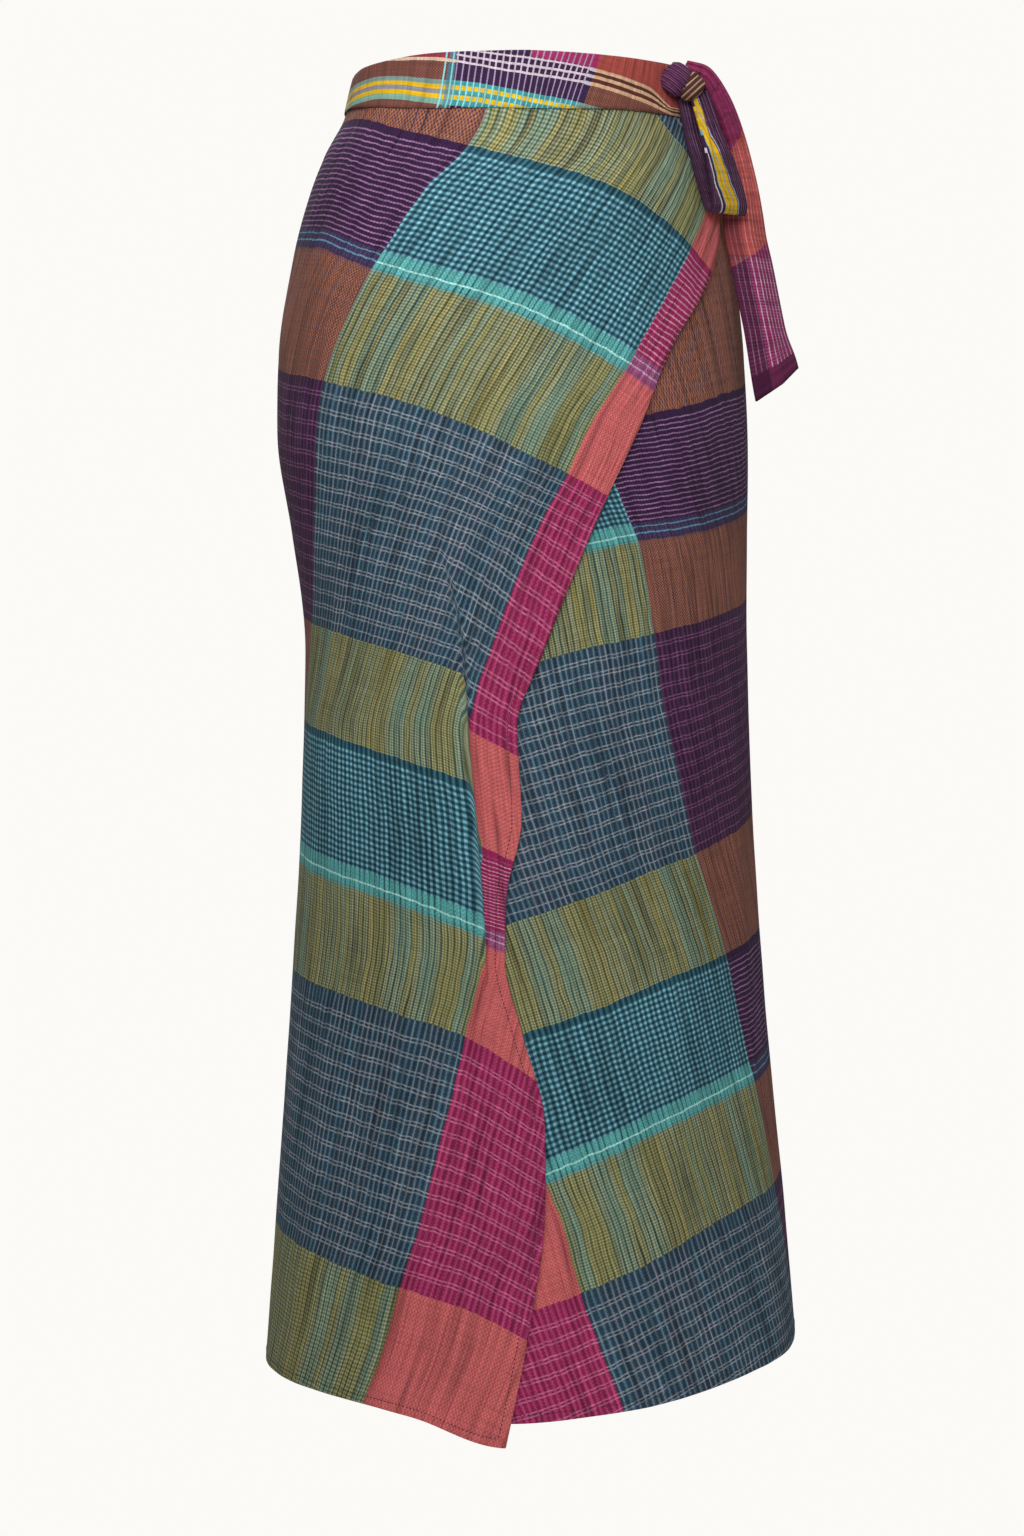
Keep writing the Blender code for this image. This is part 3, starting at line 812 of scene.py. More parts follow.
    # Row C: pale warp lines with pairs of pale picks over a dark ground
    ground_c = lay(tree, dyed("c", "ground"), dyed("c", "thread"), speck_less)
    between = lines_at(tree, across, WARP_PITCH, 0.0016, 0.0021)
    ground_c = lay(tree, ground_c, dyed("c", "thread"), between)
    hue = add(tree, "ValToRGB", (lot,), stops=[
        (0.0, "8d8f96"), (0.35, "6f8f9c"), (0.60, "a08f98"), (0.78, "5d8ea4"), (0.90, "4a5c68"),
    ])
    pale_warp = lay(tree, dyed("c", "warp"), hue, in_teal)
    faint = strewn(tree, chart_uv, (240.0, 18.0, 1.0), 0.30, 0.90, seed=5.0)
    colour_c = lay(tree, ground_c, pale_warp, lines_at(tree, across, WARP_PITCH, 0.0010), faint)
    pairs = tuple(lines_at(tree, down, PAIR_PITCH, 0.0009, first) for first in (0.0, 0.0025))
    pair = add(tree, "Math", pairs, operation="MAXIMUM")
    beads_c = strewn(tree, chart_uv, (420.0, 60.0, 1.0), 0.20, 0.75, seed=7.0)
    colour_c = lay(tree, colour_c, dyed("c", "weft"), pair, lines_c, beads_c)
    colour = lay(tree, colour, colour_c, row_c)

    # The bright band that ends row B, with a fine bright line, and a fainter one before it
    colour_band = lay(tree, dyed("band", "ground"), dyed("band", "thread"), speck)
    uneven = strewn(tree, chart_uv, (90.0, 30.0, 1.0), 0.35, 1.0)
    colour_band = lay(tree, colour_band, dyed("band", "warp"), warp_line, uneven)
    bright = lines_at(tree, turn, REPEAT, 0.0012, ENDS_B - 0.0052)
    fainter = lines_at(tree, turn, REPEAT, 0.0009, ENDS_B - 0.0105)
    not_teal = add(tree, "Math", (1.05, in_teal), operation="SUBTRACT")
    fainter = add(tree, "Math", (fainter, not_teal), operation="MULTIPLY")
    both = add(tree, "Math", (bright, fainter), operation="MAXIMUM")
    colour_band = lay(tree, colour_band, dyed("band", "weft"), both, beads)
    colour = lay(tree, colour, colour_band, band)

    finish_cloth(tree, chart_uv, colour, settings)
    return material


# Threads are 0.3 mm apart in the real cloth, and are drawn 1.2 mm apart so that they show
THREAD_PITCH = 0.0012


def finish_cloth(tree, place, colour, settings, crinkled=1.0):
    """Threads, slubs and fading over a cloth's colours, painted shade in its crinkles' hollows, its
    crinkled surface and its shader.
    """
    waves = []
    for way in (0, 1):
        metres = add(tree, "SeparateXYZ", (place,), output=way)
        angle = add(tree, "Math", (metres, 2 * math.pi / THREAD_PITCH), operation="MULTIPLY")
        waves.append(add(tree, "Math", (angle,), operation="SINE"))
    weave = add(tree, "Math", waves, operation="MULTIPLY")
    warp_slub = strewn(tree, place, (800.0, 26.0, 1.0), 0.86, 1.14)
    weft_slub = strewn(tree, place, (26.0, 800.0, 1.0), 0.88, 1.12, seed=2.0)
    fading = strewn(tree, place, (11.0, 11.0, 1.0), 0.93, 1.07, detail=2.0)
    # Long soft crinkles lie along the warp, with finer puckers over them
    crinkles = strewn(tree, place, (190.0, 10.0, 1.0), 0.0, 1.0, detail=2.0, seed=9.0)
    puckers = strewn(tree, place, (300.0, 70.0, 1.0), 0.0, 1.0, seed=4.0)
    # Painted shade: the hollows between the crinkles are darkened in the cloth's colour
    painted_hollow_shade = add(tree, "MapRange", (crinkles, 0.0, 0.55, 1 - 0.42 * crinkled, 1.0))
    tone = add(tree, "Math", (weave, 0.13, 1.0), operation="MULTIPLY_ADD")
    for other in (warp_slub, weft_slub, fading, painted_hollow_shade):
        tone = add(tree, "Math", (tone, other), operation="MULTIPLY")
    toned = add(tree, "VectorMath", {0: colour, "Scale": tone}, operation="SCALE")
    height = add(tree, "Math", (puckers, 0.35, crinkles), operation="MULTIPLY_ADD")
    height = add(tree, "Math", (weave, 0.05, height), operation="MULTIPLY_ADD")
    depth = 0.0011 * crinkled
    normal = add(tree, "Bump", {"Strength": 1.0, "Distance": depth, "Height": height})
    rough = add(tree, "MapRange", (warp_slub, 0.86, 1.14, 0.92, 0.78))
    shader = add(tree, "BsdfPrincipled", {
        "Base Color": toned, "Roughness": rough, "Normal": normal, "IOR": 1.46,
        "Specular IOR Level": 0.12, "Sheen Weight": settings.sheen, "Sheen Roughness": 0.5,
    })
    add(tree, "OutputMaterial", {"Surface": shader})


def striped(name, settings, stripes, crinkled=0.6):
    """Yarn-dyed plain-woven cotton, folded double: flat stripes with a speckle of both threads."""
    material, tree = bare_material(name)
    place, along, across = wandering(tree, 0.0007)
    _, speck = checked(tree, along, across, 0.0021)
    finish_cloth(tree, place, stripes(tree, place, along, across, speck), settings, crinkled)
    return material


# Where the waistband's lengths begin, as arc lengths from the front: a plum one at the back, a
# brown one over the right hip, the plum one in front with a navy strip after it, a brown and rust
# one, and a plum one on the left
BACK_PLUM, HIP_BROWN, PLUM_FROM = -0.44, -0.33, -0.1205
PLUM_TO, STRIP_TO, LEFT_PLUM = -0.0325, -0.0275, 0.30
WHITE_WARP_PITCH = 0.00415


def waistband_stripes(tree, place, along, down, speck):
    """Brown and plum lengths, with pale and yellow lines that run along the band."""
    lengths = partial(stretches, tree, along, (-0.60, 0.60))
    heights = partial(stretches, tree, down, (-0.03, 0.08))

    def by_length(brown, plum, strip, front):
        return lengths(brown, (BACK_PLUM, plum), (HIP_BROWN, brown), (PLUM_FROM, plum),
                       (PLUM_TO, strip), (STRIP_TO, front), (LEFT_PLUM, plum))

    ground = by_length("8c5640", "3d2646", "38274c", "8c5640")
    thread = by_length("2f2640", "2c1a36", "2d2342", "38283a")
    colour = lay(tree, ground, thread, add(tree, "Math", (speck, 0.75), operation="MULTIPLY"))
    in_plum = by_length(0.0, 1.0, 0.0, 0.0)
    at_front = lengths(0.0, (STRIP_TO, 1.0), (LEFT_PLUM, 0.0))

    # The rust length over the front lies above the pale lines, and a magenta one before it
    above = heights(1.0, (-0.0010, 0.0))
    among = heights(0.0, (-0.0010, 1.0), (0.0120, 0.0))
    colour = lay(tree, colour, linear("9c4740"), at_front, above)
    colour = lay(tree, colour, linear("563028"), at_front, among)
    red_top = lengths(0.0, (-0.072, 1.0), (STRIP_TO, 0.0))
    colour = lay(tree, colour, linear("9a2f5c"), red_top, above)
    # A red sliver shows over the one pale line of the right hip's length
    sliver = lengths(0.0, (-0.168, 1.0), (PLUM_FROM, 0.0))
    over_last = heights(1.0, (0.0096, 0.0))
    colour = lay(tree, colour, linear("8f3344"), sliver, over_last)

    # White warp lines cross the plum length, and stand thickest between the pale lines
    white_warp = lines_at(tree, along, WHITE_WARP_PITCH, 0.0009)
    beads = add(tree, "MapRange", {0: speck, 3: 1.0, 4: 0.7})
    colour = lay(tree, colour, linear("a493b4"), white_warp, in_plum, beads)
    wide_warp = lines_at(tree, along, WHITE_WARP_PITCH, 0.0011)
    colour = lay(tree, colour, linear("c0aebd"), wide_warp, in_plum, among)

    # The lower group: grey-green, yellow, grey, yellow and green, on turquoise over the plum
    group = heights(0.0, (0.0248, 1.0), (0.0440, 0.0))
    group_colour = heights("7c9690", (0.0318, "8d8a90"), (0.0354, "8d8a90"), (0.0394, "7fa898"))
    colour = lay(tree, colour, group_colour, group)
    colour = lay(tree, colour, linear("3f8e95"), group, in_plum)
    colour = lay(tree, colour, linear("8fcfcb"), group, in_plum, white_warp)
    yellow = heights(0.0, (0.0281, 1.0), (0.0318, 0.0), (0.0356, 1.0), (0.0395, 0.0))
    gaps = lines_at(tree, along, WHITE_WARP_PITCH, 0.0013)
    gaps = add(tree, "Math", (gaps, in_plum), operation="MULTIPLY")
    solid = add(tree, "Math", (1.0, gaps), operation="SUBTRACT")
    colour = lay(tree, colour, linear("dcb21c"), yellow, solid)

    # A turquoise check where the plum length starts
    edge = lengths(0.0, (PLUM_FROM - 0.0045, 1.0), (PLUM_FROM + 0.0026, 0.0))
    colour = lay(tree, colour, linear("2f7f8e"), edge, 0.65)
    # Lines at a spacing longer than the band, so that each shows once
    once = 10.0
    bright = lines_at(tree, along, once, 0.0011, PLUM_FROM - 0.0035)
    brighter = lines_at(tree, along, once, 0.0010, PLUM_FROM + 0.0015)
    both = add(tree, "Math", (bright, brighter), operation="MAXIMUM")
    colour = lay(tree, colour, linear("7fd0d4"), both)

    # The three pale lines: white and thin over the plum length, and cream elsewhere. Only the last
    # one shows over the right hip
    pale = heights(0.0, (-0.0012, 1.0), (0.0014, 0.0), (0.0043, 1.0), (0.0069, 0.0),
                   (0.0096, 1.0), (0.0122, 0.0))
    thin = heights(0.0, (-0.0007, 1.0), (0.0009, 0.0), (0.0048, 1.0), (0.0064, 0.0),
                   (0.0101, 1.0), (0.0117, 0.0))
    pale = lay(tree, pale, thin, in_plum)
    last = heights(0.0, (0.0096, 1.0), (0.0122, 0.0))
    pale = lay(tree, pale, last, lengths(0.0, (HIP_BROWN, 1.0), (PLUM_FROM, 0.0)))
    cream = lengths("dcbfa6", (BACK_PLUM, "ddd0d8"), (HIP_BROWN, "dcbfa6"),
                    (PLUM_FROM, "d0c1cb"), (STRIP_TO, "d3a988"))
    soft = add(tree, "MapRange", {0: speck, 3: 1.0, 4: 0.82})
    return lay(tree, colour, cream, pale, soft)


def knot_stripes(tree, place, along, across, speck):
    """Plum with fine pale pinstripes that follow the wrap."""
    half = add(tree, "Math", (speck, 0.5), operation="MULTIPLY")
    colour = lay(tree, linear("502144"), linear("301630"), half)
    return lay(tree, colour, linear("8a5f82"), lines_at(tree, across, 0.0026, 0.0008),
               strewn(tree, place, (60.0, 300.0, 1.0), 0.3, 0.9))


def loop_stripes(tree, place, along, across, speck):
    """Yellow and blue lines of uneven width on the outer face, and plum pinstripes elsewhere."""
    half = add(tree, "Math", (speck, 0.5), operation="MULTIPLY")
    colour = lay(tree, linear("43263f"), linear("2c1830"), half)
    pins = lines_at(tree, across, 0.0023, 0.0007)
    uneven = strewn(tree, place, (60.0, 300.0, 1.0), 0.2, 0.7)
    colour = lay(tree, colour, linear("8e6a88"), pins, uneven)
    # The bright lines drift across the strap from its turn to the knot
    drift = add(tree, "Math", (along, -0.28, across), operation="MULTIPLY_ADD")
    ripple = strewn(tree, place, (70.0, 40.0, 1.0), -0.0012, 0.0012)
    drift = add(tree, "Math", (drift, ripple), operation="ADD")
    drifted = partial(stretches, tree, drift, (-0.06, 0.06))
    bright = drifted(0.0, (-0.0176, 1.0), (0.0032, 0.0))
    bright_colour = drifted(
        "9db2c2", (-0.0168, "3a2340"), (-0.0158, "cfa61e"), (-0.0110, "8d97a0"),
        (-0.0098, "d4ad22"), (-0.0066, "b98a2c"), (-0.0054, "d4ad22"), (-0.0022, "6f9fb4"),
        (-0.0010, "3a2340"), (0.0018, "cdc3cf"),
    )
    outer = stretches(tree, across, (0.0, 0.08), 1.0, (TIE_WIDTH, 0.0))
    colour = lay(tree, colour, bright_colour, bright, outer)
    # The band's own cream lines run on into the strap beside the knot
    near_knot = stretches(tree, along, (-0.1, 0.2), 1.0, (0.004, 0.0))
    cream = lay(tree, linear("4a2c28"), linear("b7987c"), lines_at(tree, across, 0.0075, 0.0024))
    return lay(tree, colour, cream, near_knot)


# Where the tail's lengths begin, in metres along it
CORAL_FROM, PLUM_LENGTH_FROM, CROSSED_FROM, PLAIN_END_FROM = 0.060, 0.138, 0.150, 0.226


def tail_stripes(tree, place, along, across, speck):
    """Magenta, coral and checked plum lengths, and a plain plum end, with painted shade along the
    inner side.
    """
    lengths = partial(stretches, tree, along, (-0.02, 0.30))
    less = add(tree, "Math", (speck, 0.5), operation="MULTIPLY")
    # The strap was cut a little off the grain, so that its lengths begin on a slant
    to_edge = add(tree, "Math", (2 * TIE_WIDTH, across), operation="SUBTRACT")
    begun = add(tree, "Math", (to_edge, -0.5, along), operation="MULTIPLY_ADD")
    begun_at = partial(stretches, tree, begun, (-0.06, 0.30))
    ground = begun_at("93305c", (CORAL_FROM, "b9524d"), (PLUM_LENGTH_FROM, "902a60"))
    thread = begun_at("6e2148", (CORAL_FROM, "93403f"), (PLUM_LENGTH_FROM, "521c42"))
    colour = lay(tree, ground, thread, less)
    plain_end = lengths(0.0, (PLAIN_END_FROM, 1.0))
    colour = lay(tree, colour, linear("602446"), plain_end)
    fine = lines_at(tree, along, 0.0021, 0.0008)
    crossed = lengths(0.0, (CROSSED_FROM, 1.0), (PLAIN_END_FROM, 0.0))
    uneven = strewn(tree, place, (40.0, 300.0, 1.0), 0.1, 0.7)
    colour = lay(tree, colour, linear("a0688e"), fine, crossed, uneven)
    lines = lines_at(tree, across, 0.0040, 0.0008, 0.001)
    shown = lengths(0.10, (0.070, 0.40), (CROSSED_FROM, 0.85), (PLAIN_END_FROM, 0.0))
    uneven = strewn(tree, place, (300.0, 40.0, 1.0), 0.35, 1.0)
    colour = lay(tree, colour, linear("dcc3cc"), lines, shown, uneven)
    # Painted shade along the strap's inner side, where its lengthwise fold turns away from the
    # light, stronger on the coral and plum lengths
    painted_side_shade = stretches(tree, across, (0.0, 0.08), 0.0, (0.026, 1.0), (0.0500, 0.0))
    painted_shade_by_length = begun_at(0.30, (CORAL_FROM, 0.50), (PLUM_LENGTH_FROM, 0.72))
    return lay(tree, colour, linear("34152f"), painted_side_shade, painted_shade_by_length)


# ---------------------------------------------------------------- the waistband and the tie

Folded = namedtuple("Folded", "across out")


def strip_profile(half_gap, steps):
    """Across a folded strip, from its open edge over the outer face, round the fold and back."""
    made = [Folded(1.0 - 2.0 * k / steps, half_gap) for k in range(steps)]
    for k in range(7):
        turn = math.pi * k / 6
        made.append(Folded(-1.0 - 0.030 * math.sin(turn), half_gap * math.cos(turn)))
    made += [Folded(-1.0 + 2.0 * k / steps, -half_gap) for k in range(1, steps + 1)]
    return made


def band_place(bearing, drop):
    """Where a point of the waistband lies among its stripes."""
    names = ("first_pale", "last_pale", "yellow", "second_yellow")
    marks = [STRIPES[name](bearing) for name in names]
    down = STRIPE_PLACES[0] + drop - marks[0]
    for k in range(3):
        if drop > marks[k]:
            part = (drop - marks[k]) / (marks[k + 1] - marks[k])
            down = STRIPE_PLACES[k] + part * (STRIPE_PLACES[k + 1] - STRIPE_PLACES[k])
    return arc(bearing, BAND_MIDDLE) + STRIPES["lean"](bearing) * (drop - 0.01), down


def band_columns(along, steps):
    """The waistband, from inside at the under panel's edge, round the back to its end on top."""
    made = []
    end = 360.0 + WRAP_EDGE[0].bearing
    for i in range(along + 1):
        around = UNDER_EDGE + (end - UNDER_EDGE) * i / along
        on_top = around > CENTRE_BACK
        bearing = around - 360.0 if on_top else around
        lift = over_lift(bearing) if on_top else 0.0
        puckers = BAND_PUCKERS_ON_TOP if on_top else BAND_PUCKERS_INSIDE
        length = arc(bearing, BAND_MIDDLE)
        tall = SEAM(bearing)
        rim = SLUMP["below"](bearing)
        column = []
        for across, out in strip_profile(BAND_HALF_GAP, steps):
            part_down = (1 + across) / 2
            drop = rim + (tall - rim) * part_down
            ripple = puckered(length, drop, puckers) * BAND_PUCKER_HEIGHT * (1 if out > 0 else 0.3)
            inward = SLUMP["inward"](bearing) * max(0.0, 1.0 - part_down) ** 1.5
            point = form_point(bearing, max(CLOTH, drop), lift + out + ripple - inward)
            if drop < CLOTH:
                point.z = BAND_HEIGHT / 2 - drop
            column.append((point, band_place(bearing, drop)))
        made.append(column)
    return made


def bow_axes():
    """The bow's place on the waist, and its level and outward directions."""
    place = form_point(TIE_BEARING, 0.0)
    out = (form_point(TIE_BEARING, 0.0, 1.0) - place).normalized()
    return place, Vector((-out.y, out.x, 0)), out


def tie_columns(runs, per_span, steps, slant=0.0):
    """A folded strap along its table's course, pleated where it is drawn together."""
    steps_along = [Step(k, *row) for k, row in enumerate(runs)]
    read = curves(steps_along, "at")
    place, way_round, way_out = bow_axes()
    spans = len(runs) - 1

    def middle_at(at):
        at = max(0.0, min(spans, at))
        level = way_round * read["around"](at) + way_out * read["out"](at)
        return place + level - Vector((0, 0, read["drop"](at)))

    made, length, before = [], 0.0, middle_at(0.0)
    for i in range(spans * per_span + 1):
        at = i / per_span
        middle = middle_at(at)
        length += (middle - before).length
        before = middle
        turn, tilt = math.radians(read["turn"](at)), math.radians(read["tilt"](at))
        level_way = way_round * math.cos(turn) + way_out * math.sin(turn)
        width_way = level_way * math.cos(tilt) + Vector((0, 0, math.sin(tilt)))
        face_way = way_out * math.cos(turn) - way_round * math.sin(turn)
        normal = width_way.cross(middle_at(at + 0.05) - middle_at(at - 0.05)).normalized()
        spread = read["spread"](at)
        pleat = PLEAT_DEEP * ease((0.95 - spread) / 0.6)
        column = []
        for across, out in strip_profile(STRAP_HALF_GAP, steps):
            held = max(-1.0, min(1.0, across))
            sway = PLEAT_SWAY * math.sin(at * 1.7)
            ridge = pleat * math.cos(math.pi * (PLEATS * held + sway)) * (1 - held ** 6)
            point = middle + width_way * ((held * spread + across - held) * TIE_WIDTH / 2)
            point += face_way * (read["crease"](at) * (1 - abs(held))) + normal * (out + ridge)
            point.z += slant * held * ease(at - (spans - 1))
            unfolded = (1 - held) if out > 0 else (3 + held)
            column.append((point, (length, unfolded * TIE_WIDTH / 2)))
        made.append(column)
    return made


def wrap_columns(along, across, wrap):
    """A strap's wrap, a little more than once round, drawn in at its sides and grooved along it."""
    place, way_round, way_out = bow_axes()
    middle = place + way_round * wrap.around + way_out * wrap.out - Vector((0, 0, wrap.drop))
    turn, lean = math.radians(wrap.turn), math.radians(wrap.lean)
    side_way = way_round * math.cos(turn) + way_out * math.sin(turn)
    face_way = way_out * math.cos(turn) - way_round * math.sin(turn)
    up = Vector((0, 0, 1))
    long_way = side_way * math.cos(lean) - up * math.sin(lean)
    wide_way = side_way * math.sin(lean) + up * math.cos(lean)
    made = []
    for i in range(along + 1):
        way = 2 * math.pi * WRAP_TURNS * i / along - math.pi
        lap = CLOTH * i / along
        column = []
        for j in range(across + 1):
            side = 2 * j / across - 1
            full = max(0.0, 1 - abs(side) ** 2.6) ** 0.5
            reach = WRAP_SIDES + (1 - WRAP_SIDES) * full
            sway = side + 0.10 * math.sin(way + 0.6)
            groove = GROOVE_DEEP * (1 - math.cos(2 * math.pi * wrap.grooves * sway)) / 2 * full
            point = middle + wide_way * (side * wrap.wide)
            point += face_way * (math.cos(way) * (wrap.deep * reach - groove + lap))
            point += long_way * (math.sin(way) * (wrap.long * reach - groove + lap))
            column.append((point, (wrap.starts + way * wrap.long, (side + 1) * TIE_WIDTH / 2)))
        made.append(column)
    return made


# ---------------------------------------------------------------- stitches


# Half a stitch's width and height, and how far its ends sink into the cloth
STITCH_WIDE = 0.00032
STITCH_TALL = 0.00038
STITCH_SINKS = 0.0003


def seam(name, path, length, gap, colour):
    """A row of stitches along a path of (place on the cloth, place just outside it)."""
    points, faces = [], []
    step, walked, begins = length + gap, 0.0, 0.0
    starts = []
    for (before, _), (after, out) in zip(path, path[1:]):
        stretch = (after - before).length
        while begins < walked + stretch:
            part = (begins - walked) / stretch
            way = (after - before).normalized()
            starts.append((before.lerp(after, part), way, (out - after).normalized()))
            begins += step
        walked += stretch
    ring = ((1.0, 0.0), (0.0, 1.0), (-1.0, 0.0), (0.0, -0.4))
    for place, way, out in starts:
        side = way.cross(out)
        first = len(points)
        points.append(place - out * STITCH_SINKS)
        for part in (0.25, 0.75):
            for across, up in ring:
                off = side * across * STITCH_WIDE + out * (up * STITCH_TALL)
                points.append(place + way * length * part + off)
        points.append(place + way * length - out * STITCH_SINKS)
        for k in range(4):
            after = (k + 1) % 4
            faces.append((first, first + 1 + k, first + 1 + after))
            faces.append((first + 1 + k, first + 5 + k, first + 5 + after, first + 1 + after))
            faces.append((first + 5 + k, first + 9, first + 5 + after))
    mesh = new_mesh(name, points, faces, spun_thread(name, colour))
    mesh.shade_smooth()
    return new_object(name, mesh)


def spun_thread(name, colour):
    """Spun polyester sewing thread: a dull smooth surface, a little shinier than the cloth."""
    material = bpy.data.materials.new("spun_thread_" + name)
    material.use_nodes = True
    shader = material.node_tree.nodes["Principled BSDF"]
    shader.inputs["Base Color"].default_value = (*colour, 1.0)
    shader.inputs["Roughness"].default_value = 0.6
    shader.inputs["IOR"].default_value = 1.5
    return material


def panel_path(place_at, spots):
    """The places that a panel's seam runs through, on the cloth's face and just outside it."""
    return [
        tuple(place_at(bearing, drop, -CLOTH / 2 - out) for out in (0.0, 0.001))
        for bearing, drop in spots
    ]


def hem_spots(bottom, start, end, above):
    count = int((end - start) * 2)
    bearings = [start + (end - start) * k / count for k in range(count + 1)]
    return [(bearing, bottom(bearing) - above) for bearing in bearings]


def edge_spots(start, end, inside):
    drops = [start + (end - start) * k / 300 for k in range(301)]
    return [(EDGE(drop) - math.degrees(inside / BODY["front"](drop)), drop) for drop in drops]


# ---------------------------------------------------------------- operators


class SkirtSizes(bpy.types.PropertyGroup):
    """Sizes and colours that a user would change"""

    sheen: FloatProperty(
        name="Sheen", description="Soft nap of the cotton", default=0.03, min=0.0, max=1.0,
        subtype="FACTOR")
    stitch: FloatProperty(
        name="Stitch", description="Length of one topstitch", default=0.0021, min=0.001, max=0.005,
        subtype="DISTANCE", unit="LENGTH")
    hem_stitch: FloatProperty(
        name="Hem seam", description="Height of the topstitching above the hem", default=0.0057,
        min=0.002, max=0.006, subtype="DISTANCE", unit="LENGTH")
    thread: FloatVectorProperty(
        name="Thread", description="Colour of the hem's topstitching",
        default=linear("2a1d2a")[:3], subtype="COLOR", size=3)
    backdrop: FloatVectorProperty(
        name="Backdrop", description="Colour of the studio's backdrop",
        default=linear("fcfaf7")[:3], subtype="COLOR", size=3)


def aimed(item, place, aim):
    """Puts a lamp or a camera at a place, turned towards its aim."""
    item.location = place
    item.rotation_euler = (Vector(aim) - item.location).to_track_quat("-Z", "Y").to_euler()
    return item


def finish_piece(piece, node):
    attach(piece, "root")
    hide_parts(node)


class SKIRT_OT_panels(bpy.types.Operator):
    """Builds the over and under panels"""

    bl_idname = "skirt.panels"
    bl_label = "Panels"

    def execute(self, context):
        sizes = context.scene.skirt_sizes
        cloth = madras(sizes)
        over = sheet_mesh("over_cloth", over_columns(150, 214), cloth)
        finish_piece(over, "over_panel")
        under = sheet_mesh("under_cloth", under_columns(170, 208), cloth)
        finish_piece(under, "under_panel")
        over_end = EDGE(0.918) - 2.0
        for name, node, slot, place_at, spots in (
            ("over_hem_stitches", "over_panel", "olive_check", over_place,
             hem_spots(OVER_BOTTOM, -CENTRE_BACK + 1.0, over_end, sizes.hem_stitch)),
            ("over_edge_stitches", "over_panel", "olive_check", over_place,
             edge_spots(0.40, 0.911, sizes.hem_stitch)),
            ("under_hem_stitches", "under_panel", "blue_check", under_place,
             hem_spots(UNDER_BOTTOM, UNDER_EDGE + 1.0, CENTRE_BACK - 1.0, sizes.hem_stitch)),
        ):
            path = panel_path(place_at, spots)
            stitched = seam(name, path, sizes.stitch, sizes.stitch * 0.3, sizes.thread)
            finish_piece(stitched, node)
        return {"FINISHED"}


class SKIRT_OT_waistband(bpy.types.Operator):
    """Builds the folded waistband"""

    bl_idname = "skirt.waistband"
    bl_label = "Waistband"

    def execute(self, context):
        cloth = striped("yarn_dyed_band_cotton", context.scene.skirt_sizes, waistband_stripes)
        band = sheet_mesh("waistband_cloth", band_columns(330, 12), cloth, STRAP_WALL)
        finish_piece(band, "waistband")
        return {"FINISHED"}


class SKIRT_OT_half_bow(bpy.types.Operator):
    """Builds the knot, the loop and the tail of the tie"""

    bl_idname = "skirt.half_bow"
    bl_label = "Half bow"

    def execute(self, context):
        sizes = context.scene.skirt_sizes
        cloth = striped("yarn_dyed_knot_cotton", sizes, knot_stripes, 0.4)
        knot = sheet_mesh("tie_knot_cloth", wrap_columns(56, 36, KNOT_WRAP), cloth, STRAP_WALL)
        finish_piece(knot, "tie_knot")
        cloth = striped("yarn_dyed_loop_cotton", sizes, loop_stripes, 0.4)
        inner = sheet_mesh("tie_knot_inner", wrap_columns(44, 28, LOOP_WRAP), cloth, STRAP_WALL)
        finish_piece(inner, "tie_knot")
        loop = sheet_mesh("tie_loop_cloth", tie_columns(TIE_LOOP, 8, 22), cloth, STRAP_WALL)
        finish_piece(loop, "tie_loop")
        cloth = striped("yarn_dyed_tail_cotton", sizes, tail_stripes, 0.5)
        columns = tie_columns(TIE_TAIL, 10, 22, TAIL_SLANT)
        tail = sheet_mesh("tie_tail_cloth", columns, cloth, STRAP_WALL)
        finish_piece(tail, "tie_tail")
        return {"FINISHED"}


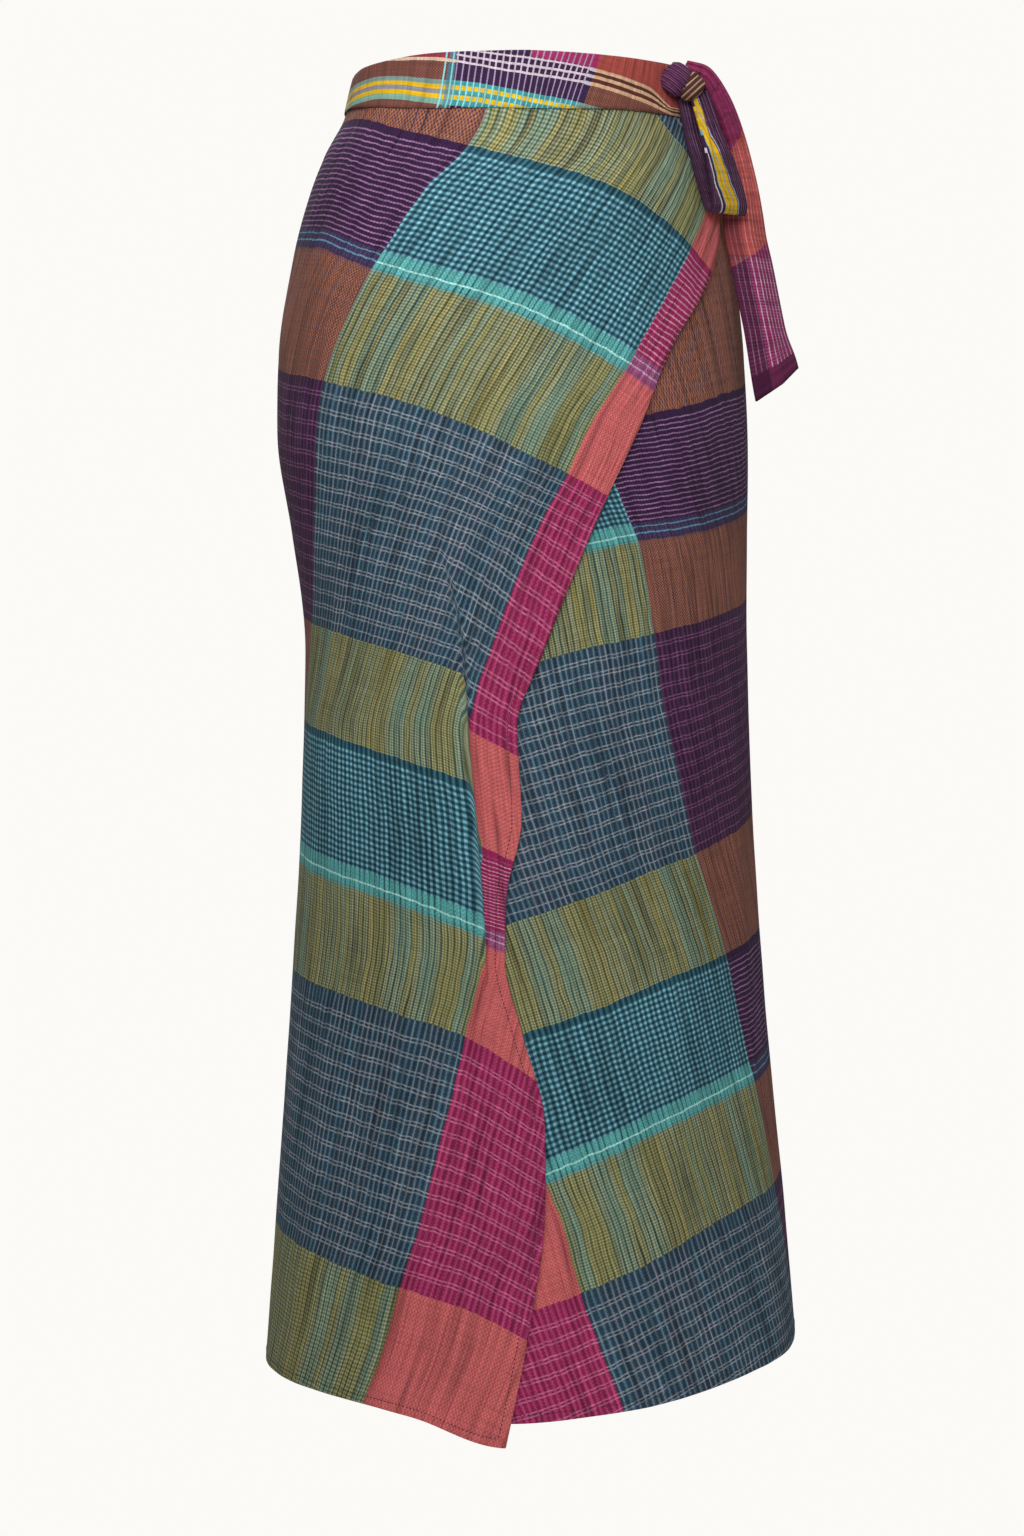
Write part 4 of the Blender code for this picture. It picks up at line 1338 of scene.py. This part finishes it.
class SKIRT_OT_stage(bpy.types.Operator):
    """Sets the floor, the lights and the camera"""

    bl_idname = "skirt.stage"
    bl_label = "Stage"

    def execute(self, context):
        scene = context.scene
        paint = bpy.data.materials.new("matt_painted_floor")
        paint.use_nodes = True
        tree = paint.node_tree
        shader = tree.nodes["Principled BSDF"]
        shader.inputs["Base Color"].default_value = linear("a9a8a6")
        shader.inputs["Roughness"].default_value = 0.9
        # The floor looks as bright as the backdrop, and gives the cloth less light than it seems to
        backdrop = (*scene.skirt_sizes.backdrop, 1.0)
        even = add(tree, "Emission", {"Color": backdrop, "Strength": 1.0})
        seen_by = add(tree, "LightPath")
        both = add(tree, "MixShader", (seen_by, shader.outputs[0], even))
        tree.links.new(both, tree.nodes["Material Output"].inputs["Surface"])
        corners = [(x * 40.0, y * 40.0, 0.0) for x, y in ((-1, -1), (1, -1), (1, 1), (-1, 1))]
        floor = new_object("floor", new_mesh("floor", corners, [(0, 1, 2, 3)], paint))
        floor.location.z = -1.6

        # The backdrop is brighter to the eye than the light that it gives the cloth
        world = bpy.data.worlds.new("studio")
        scene.world = world
        world.use_nodes = True
        tree = world.node_tree
        tree.nodes.clear()
        seen = add(tree, "Background", {"Color": backdrop, "Strength": 1.0})
        given = add(tree, "Background", {"Color": linear("fbfaf8"), "Strength": 0.17})
        camera_ray = add(tree, "LightPath")
        both = add(tree, "MixShader", (camera_ray, given, seen))
        add(tree, "OutputWorld", {"Surface": both})

        for name, azimuth, height, power, soft in (
            ("key_light", -64.0, 54.0, 0.78, 26.0),
            ("side_light", 40.0, 30.0, 0.30, 50.0),
            ("back_light", 150.0, 35.0, 1.70, 50.0),
        ):
            lamp = bpy.data.lights.new(name, "SUN")
            lamp.energy = power
            lamp.angle = math.radians(soft)
            light = new_object(name, lamp)
            light.rotation_euler = (math.radians(90.0 - height), 0.0, math.radians(azimuth))
        for name, place, aim, wide, spread, power in (
            ("top_light", (-0.60, -0.70, 0.32), (0.0, 0.0, -0.08), 0.6, 95.0, 2.3),
            ("low_light", (-0.55, -1.00, -1.45), (0.0, 0.0, -1.00), 0.6, 100.0, 1.9),
        ):
            lamp = bpy.data.lights.new(name, "AREA")
            lamp.shape = "DISK"
            lamp.size = wide
            lamp.energy = power
            lamp.spread = math.radians(spread)
            aimed(new_object(name, lamp), place, aim)
        scene.view_settings.view_transform = "Standard"

        lens = bpy.data.cameras.new("camera")
        lens.sensor_fit = "AUTO"
        lens.sensor_width = 36.0
        lens.lens = 72.8
        lens.shift_x = -13.0 / 1536
        scene.camera = aimed(new_object("camera", lens), (-1.3545, -1.7336, -0.30), (0, 0, -0.4655))
        return {"FINISHED"}


STEPS = (SKIRT_OT_panels, SKIRT_OT_waistband, SKIRT_OT_half_bow, SKIRT_OT_stage)


class SKIRT_PT_sidebar(bpy.types.Panel):
    """Lists the skirt's pieces in the order they are built"""

    bl_label = "Checked wrap skirt"
    bl_idname = "SKIRT_PT_sidebar"
    bl_space_type = "VIEW_3D"
    bl_region_type = "UI"
    bl_category = "Skirt"

    def draw(self, context):
        for step in STEPS:
            self.layout.operator(step.bl_idname)
        for name in SkirtSizes.__annotations__:
            self.layout.prop(context.scene.skirt_sizes, name)


def register():
    for made in (SkirtSizes, *STEPS, SKIRT_PT_sidebar):
        bpy.utils.register_class(made)
    bpy.types.Scene.skirt_sizes = PointerProperty(type=SkirtSizes)


def unregister():
    del bpy.types.Scene.skirt_sizes
    for made in reversed((SkirtSizes, *STEPS, SKIRT_PT_sidebar)):
        bpy.utils.unregister_class(made)


def main():
    register()
    bpy.ops.skirt.panels()
    bpy.ops.skirt.waistband()
    bpy.ops.skirt.half_bow()
    bpy.ops.skirt.stage()


if __name__ == "__main__":
    main()
